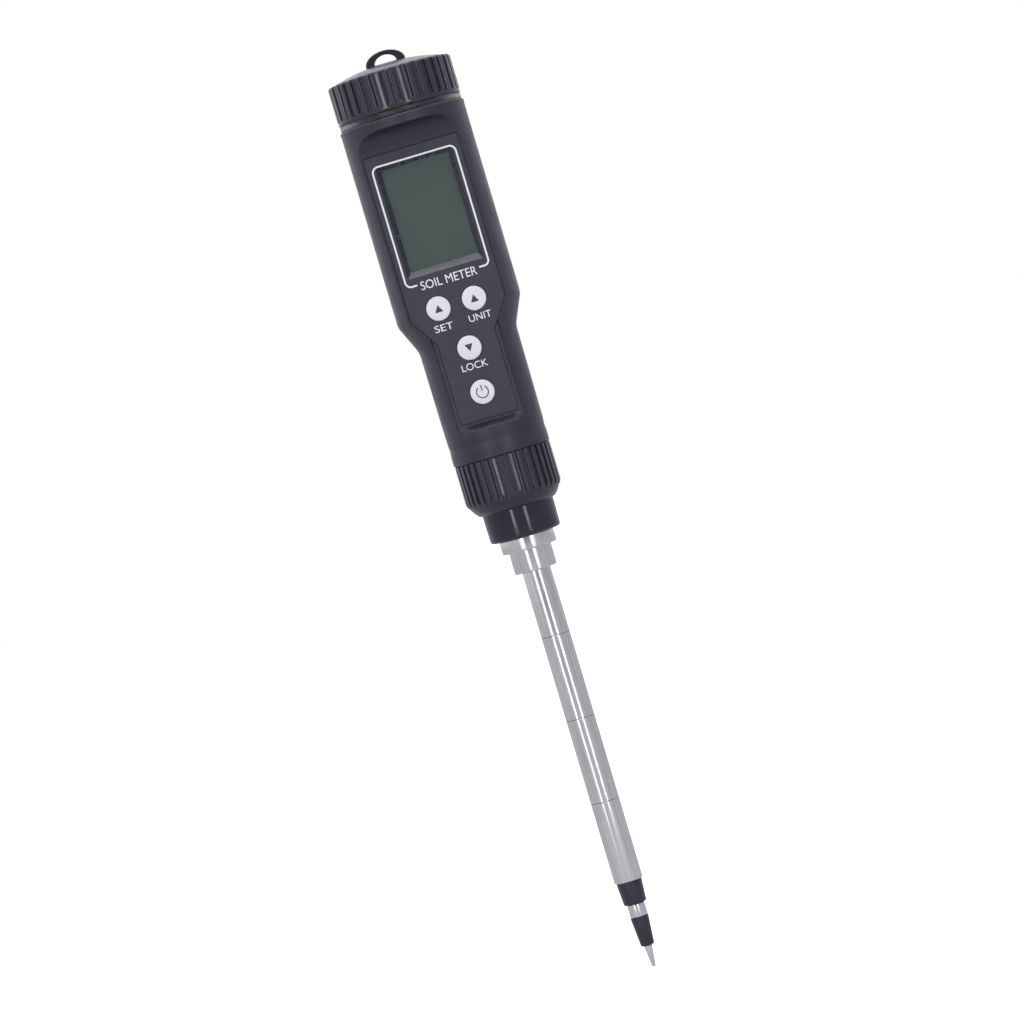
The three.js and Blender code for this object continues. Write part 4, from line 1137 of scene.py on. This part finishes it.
def ribbon(name, path, width, front, back):
    """A flat printed line along a path of (x, z) points."""
    rings = []
    for i, point in enumerate(path):
        before, after = Vector(path[max(i - 1, 0)]), Vector(path[min(i + 1, len(path) - 1)])
        way = (after - before).normalized()
        side = Vector((-way.y, way.x)) * width / 2
        left, right = Vector(point) + side, Vector(point) - side
        rings.append([(left.x, back, left.y), (right.x, back, right.y), (right.x, front, right.y),
                      (left.x, front, left.y)])
    return skin(name, rings, capped=True)


def words(name, text, x, baseline, height, width, front):
    """Printed words with a given capital height, fitted to a width."""
    curve = bpy.data.curves.new(name, "FONT")
    curve.body = text
    curve.extrude = INK / 2
    source = bpy.data.objects.new(name + "_source", curve)
    bpy.context.scene.collection.objects.link(source)
    mesh = bpy.data.meshes.new_from_object(source.evaluated_get(bpy.context.evaluated_depsgraph_get()))
    bpy.data.objects.remove(source)
    ends = [max(v.co.x for v in mesh.vertices), min(v.co.x for v in mesh.vertices)]
    for v in mesh.vertices:
        across = (v.co.x - sum(ends) / 2) * width / (ends[0] - ends[1])
        v.co = Vector((x + across, front - v.co.z, baseline + v.co.y * height / CAPITAL)) * MM
    return place(name, mesh)


ON_LABEL = LABEL_FRONT - INK / 2
border_path = rounded([
    (-9.2, 207.35), (-12.3, 207.35, 1.8), (-12.3, 242.85, 1.8), (12.3, 242.85, 1.8), (12.3, 207.35, 1.8),
    (9.2, 207.35)], steps=10)
prints = [
    ribbon("print_window_line", border_path, 0.5, ON_LABEL - INK / 2, ON_LABEL + INK / 2),
    words("print_title", "SOIL METER", 0, 205.6, 2.6, 16.6, ON_LABEL),
    words("print_cal", "SET", -5.3, 192.75, 2.1, 5.4, ON_LABEL),
    words("print_unit", "UNIT", 5.5, 192.95, 2.1, 6.6, ON_LABEL),
    words("print_hold", "LOCK", 0, 179.9, 2.1, 7.6, ON_LABEL),
]
print("prints:", [p.name for p in prints])

# %% [markdown]
# ## Key symbols
# Triangles and a power sign are printed on the keys and move with them.

# %% Symbols on the keys
ON_KEY = -KEY_FRONT + 0.02


def triangle(name, x, z, up):
    """A small filled triangle on a key."""
    side = 1 if up else -1
    corners = [(x - 1.2, z - 1.1 * side, 0.12), (x + 1.2, z - 1.1 * side, 0.12), (x, z + 1.1 * side, 0.12)]
    return plate(name, rounded(corners, 3, closed=True)[:-1], ON_KEY - 0.02, ON_KEY + 0.06)


def power_sign(name, x, z):
    """An open ring with an upright stroke in its gap."""
    turns = [math.radians(125 + 290 * i / 48) for i in range(49)]
    arc = [(x + 1.7 * math.cos(turn), z + 1.7 * math.sin(turn)) for turn in turns]
    front, back = ON_KEY - 0.02, ON_KEY + 0.08
    return join(name, ribbon("arc", arc, 0.32, front, back),
                ribbon("stroke", [(x, z + 0.3), (x, z + 2.0)], 0.32, front, back))


symbols = {
    "cal": triangle("symbol_cal", *KEYS["cal"], True),
    "unit": triangle("symbol_unit", *KEYS["unit"], True),
    "hold": triangle("symbol_hold", *KEYS["hold"], False),
    "power": power_sign("symbol_power", *KEYS["power"]),
}
print("symbols:", list(symbols))

# %% [markdown]
# ## The display behind the window
# The window pane and the display glass are plates with slightly softened corners.

# %% Pane and display
def front_plate(name, node, corner):
    """A plate the size of a CAD node, with rounded corners."""
    half = extent(node, 0)[1]
    bottom, top = level(node)
    return plate(name, rectangle(half, bottom, top, corner), *extent(node, 1))


pane = front_plate("pane_sheet", "window_pane", 0.8)
display = front_plate("display_sheet", "display_glass", 0.3)
print("display:", [round(v, 1) for v in level("display_glass")], "mm")

# %% [markdown]
# ## Dressing the pieces
# Each new piece takes its material and rides its body; most also stand for their CAD node and name their paint slot.
# Pieces that stay inside the closed housing keep their CAD mesh and only get a material.

# %% Materials, bodies and slots
def dress(piece, material, body, node=None, slot=None):
    """Finishes a piece and hands it over to the frame."""
    piece.data.materials.clear()
    piece.data.materials.append(material)
    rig.ride(piece, body)
    if node:
        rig.replaces(piece, node)
    if slot:
        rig.slot(piece, slot)


dress(housing, HOUSING_PLASTIC, "handle", "housing", "housing_plastic")
housing.data.materials.append(WINDOW_EDGE)
for face in housing.data.polygons:
    x, y, z = face.center / MM
    in_window = abs(x) < WINDOW_RIM[0] + 0.1 and WINDOW_RIM[1] - 0.1 < z < WINDOW_RIM[2] + 0.1
    if in_window and SEAT + 0.02 < y < INSIDE - 0.02:
        face.material_index = 1
dress(label, LABEL_FILM, "handle", "faceplate_label", "label_film")
dress(pane, PANE, "handle", "window_pane", "clear_pane")
dress(display, DISPLAY, "handle", "display_glass", "display")
dress(carrier, CHIP_PLASTIC, "handle", "battery_carrier", "housing_plastic")
dress(socket, GLOSS_PLASTIC, "handle", "probe_socket", "gloss_black_plastic")
for piece in prints:
    dress(piece, WHITE_INK, "handle")
for name, piece in cells.items():
    dress(piece, NICKEL, "handle", name, "nickel_plate")

dress(seal_ring, SILICONE, "cap_seal", "cap_seal_ring", "clear_silicone")
dress(battery_cap, CAP_PLASTIC, "cap", "battery_cap", "grip_plastic")
dress(loop, CAP_PLASTIC, "cap", "lanyard_loop", "grip_plastic")
dress(contact_plate, NICKEL, "cap", "cap_contact_plate", "nickel_plate")

dress(collar, COLLAR_PLASTIC, "collar", "collar_nut", "grip_plastic")
dress(sleeve, GLOSS_PLASTIC, "probe", "probe_sleeve", "gloss_black_plastic")
dress(plug, GLOSS_PLASTIC, "probe", "probe_plug", "gloss_black_plastic")
dress(face_seal, RUBBER, "probe", "face_seal_ring", "black_rubber")
dress(flange, STEEL, "probe", "steel_flange", "probe_steel")
dress(tube, TUBE_STEEL, "probe", "probe_tube", "probe_steel")
dress(upper_insulator, INSULATOR_PLASTIC, "probe", "upper_insulator", "insulator_plastic")
dress(lower_insulator, INSULATOR_PLASTIC, "probe", "lower_insulator", "insulator_plastic")
dress(ring_electrode, ELECTRODE_STEEL, "probe", "ring_electrode", "probe_steel")
dress(tip, ELECTRODE_STEEL, "probe", "tip_electrode", "probe_steel")
for name, piece in pins.items():
    dress(piece, BRASS, "probe", name, "pin_brass")
for name, piece in keys.items():
    dress(piece, KEY_PLASTIC, name + "_key", "key_" + name, "key_plastic")
for name, piece in symbols.items():
    dress(piece, DARK_INK, name + "_key")
print("dressed", len(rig.table()["pieces"]), "pieces")

# %% [markdown]
# ## Finishing the hidden pieces
# Board, chips, switches, springs and leads keep the CAD mesh. Their names tell what they are made of.

# %% Materials of the remaining CAD pieces
HIDDEN = {
    "circuit_board": BOARD, "socket_ribbon": WHITE_PLASTIC, "display_frame": WHITE_PLASTIC,
    "light_guide": LIGHT_GUIDE,
    "connector_strip": RUBBER, "processor_chip": CHIP_PLASTIC, "amplifier_chip": CHIP_PLASTIC,
    "push_switch": CHIP_PLASTIC, "clock_crystal": NICKEL, "display_screw": NICKEL, "battery_terminal": NICKEL,
    "battery_spring": NICKEL, "thermistor_lead": INSULATION, "ring_lead": INSULATION, "tip_lead": INSULATION,
    "thermistor": RUBBER,
}
left_over = [node for node in frame["nodes"].values() if not node.hide_render]
for node in left_over:
    kind = next((key for key in HIDDEN if node.name.startswith(key)), None)
    if kind:
        node.data.materials.clear()
        node.data.materials.append(HIDDEN[kind])
    else:
        print("no finish for", node.name)
print("finished", len(left_over), "hidden pieces")

# %% [markdown]
# ## A plain studio
# The background is seamless white, so the world shows white to the camera. For the object itself the world
# is bright behind and overhead, dim in front and a little less bright on the right, which draws pale edges
# on round black pieces. A pale floor lies well below the point. Its glow shows only to the camera, so from
# below the object gets just the light that the floor reflects.

# %% World and floor
scene = bpy.context.scene
scene.view_settings.view_transform = "Standard"
world = bpy.data.worlds.new("studio")
scene.world = world
world.use_nodes = True
sky = world.node_tree
sky.nodes.clear()
way = add_node(sky, "ShaderNodeSeparateXYZ", {0: add_node(sky, "ShaderNodeTexCoord").outputs["Generated"]})
behind = spread(sky, way.outputs["Y"], 0.82, 1.05, -0.85, 0.75, interpolation_type="SMOOTHSTEP")
shade = spread(sky, way.outputs["Y"], 0.5, 0, -1.0, -0.87)
overhead = spread(sky, way.outputs["Z"], 0, 0.6, 0.35, 0.9)
right = spread(sky, way.outputs["X"], 0, 0.32, 0.55, 0.95)
around = maths(sky, "SUBTRACT", maths(sky, "ADD", behind, overhead), maths(sky, "ADD", shade, right))
dim = add_node(sky, "ShaderNodeBackground", {"Strength": around})
dim.inputs["Color"].default_value = (0.94, 0.95, 1.0, 1)
bright = add_node(sky, "ShaderNodeBackground", {"Strength": 1.0})
bright.inputs["Color"].default_value = (1, 1, 1, 1)
seen = add_node(sky, "ShaderNodeLightPath").outputs["Is Camera Ray"]
mixed = add_node(sky, "ShaderNodeMixShader", {0: seen, 1: dim.outputs[0], 2: bright.outputs[0]})
sky.links.new(mixed.outputs[0], add_node(sky, "ShaderNodeOutputWorld").inputs["Surface"])

FLOOR_DEPTH, FLOOR_REACH = -120, 9000
floor_edge = rectangle(FLOOR_REACH, FLOOR_DEPTH - 10, FLOOR_DEPTH)
floor = plate("studio_floor", floor_edge, -FLOOR_REACH, FLOOR_REACH)
floor_paint = matte("floor_paint", (0.48, 0.48, 0.50), (0.54, 0.54, 0.56), (0.7, 0.8), 0.8, 0.01)
floor_tree = floor_paint.node_tree
floor_shader = floor_tree.nodes["Principled BSDF"]
floor_seen = add_node(floor_tree, "ShaderNodeLightPath").outputs["Is Camera Ray"]
floor_glow = blend_colours(floor_tree, floor_seen, (0, 0, 0), (1, 1, 1))
floor_tree.links.new(floor_glow, floor_shader.inputs["Emission Color"])
floor_shader.inputs["Emission Strength"].default_value = 1.0
floor.data.materials.append(floor_paint)
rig.stage(floor)
print("floor at", FLOOR_DEPTH, "mm")

# %% [markdown]
# ## Two tall soft lights and one overhead
# Two upright soft boxes stand either side of the camera. Every round glossy piece shows them as two pale
# stripes with a dark line between, which tells the eye that the sleeve and the tube are round and smooth. A
# wide box high in front lights the dome, the shoulder and the window's lower wall.

# %% Lights
def soft_box(name, azimuth, distance, width, height, power, target_height=140, rise=0.0):
    """An upright area light that looks at the meter from an azimuth, where 0 is the front."""
    light = bpy.data.lights.new(name, "AREA")
    light.shape = "RECTANGLE"
    light.size, light.size_y, light.energy = width, height, power
    box = bpy.data.objects.new(name, light)
    turn = math.radians(azimuth)
    target = Vector((0, 0, target_height * MM))
    box.location = target + Vector((math.sin(turn) * distance, -math.cos(turn) * distance, rise))
    box.rotation_euler = (target - box.location).to_track_quat("-Z", "Y").to_euler()
    scene.collection.objects.link(box)


soft_box("left_box", -22.5, 1.7, 0.22, 1.7, 5.4)
soft_box("right_box", 21.0, 1.7, 0.22, 1.7, 5.4)
soft_box("top_box", 0, 0.62, 0.9, 0.45, 5.2, target_height=225, rise=1.5)
print("lights:", [o.name for o in scene.objects if o.type == "LIGHT"])

# %% [markdown]
# ## The camera
# The camera looks from the front through a long lens, slightly from the right and from a little above the
# middle. It is rolled so that the meter leans to the left.

# %% Camera
camera_data = bpy.data.cameras.new("camera")
camera_data.sensor_width = 36
camera_data.lens = 165.7
camera = bpy.data.objects.new("camera", camera_data)
scene.collection.objects.link(camera)
scene.camera = camera
CAMERA_DISTANCE, CAMERA_HEIGHT, SIDE_ANGLE, ROLL = 1355, 0.181, math.radians(1.5), math.radians(-16.55)
away = Vector((math.sin(SIDE_ANGLE), -math.cos(SIDE_ANGLE), 0)) * CAMERA_DISTANCE * MM
camera.location = away + Vector((0, 0, CAMERA_HEIGHT))
aim = Vector((-2, 0, 137.4)) * MM
look = (aim - camera.location).to_track_quat("-Z", "Y").to_matrix()
camera.rotation_euler = (look @ Matrix.Rotation(ROLL, 3, "Z")).to_euler()
camera_data.clip_start, camera_data.clip_end = 0.05, 30
print("camera at", [round(v / MM) for v in camera.location], "mm")

# %% [markdown]
# ## Writing down the sizes
# The finished object should be as big as the imported model. Both boxes are written down.

# %% Sizes of the model and the finished meter
new_low, new_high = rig.bounds()
sizes = {
    "cad_low": list(cad_low), "cad_high": list(cad_high),
    "scene_low": list(new_low), "scene_high": list(new_high),
}
with open("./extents.json", "w") as size_file:
    json.dump(sizes, size_file, indent=1)
print("size of the finished meter:", [round(v / MM, 2) for v in new_high - new_low], "mm")
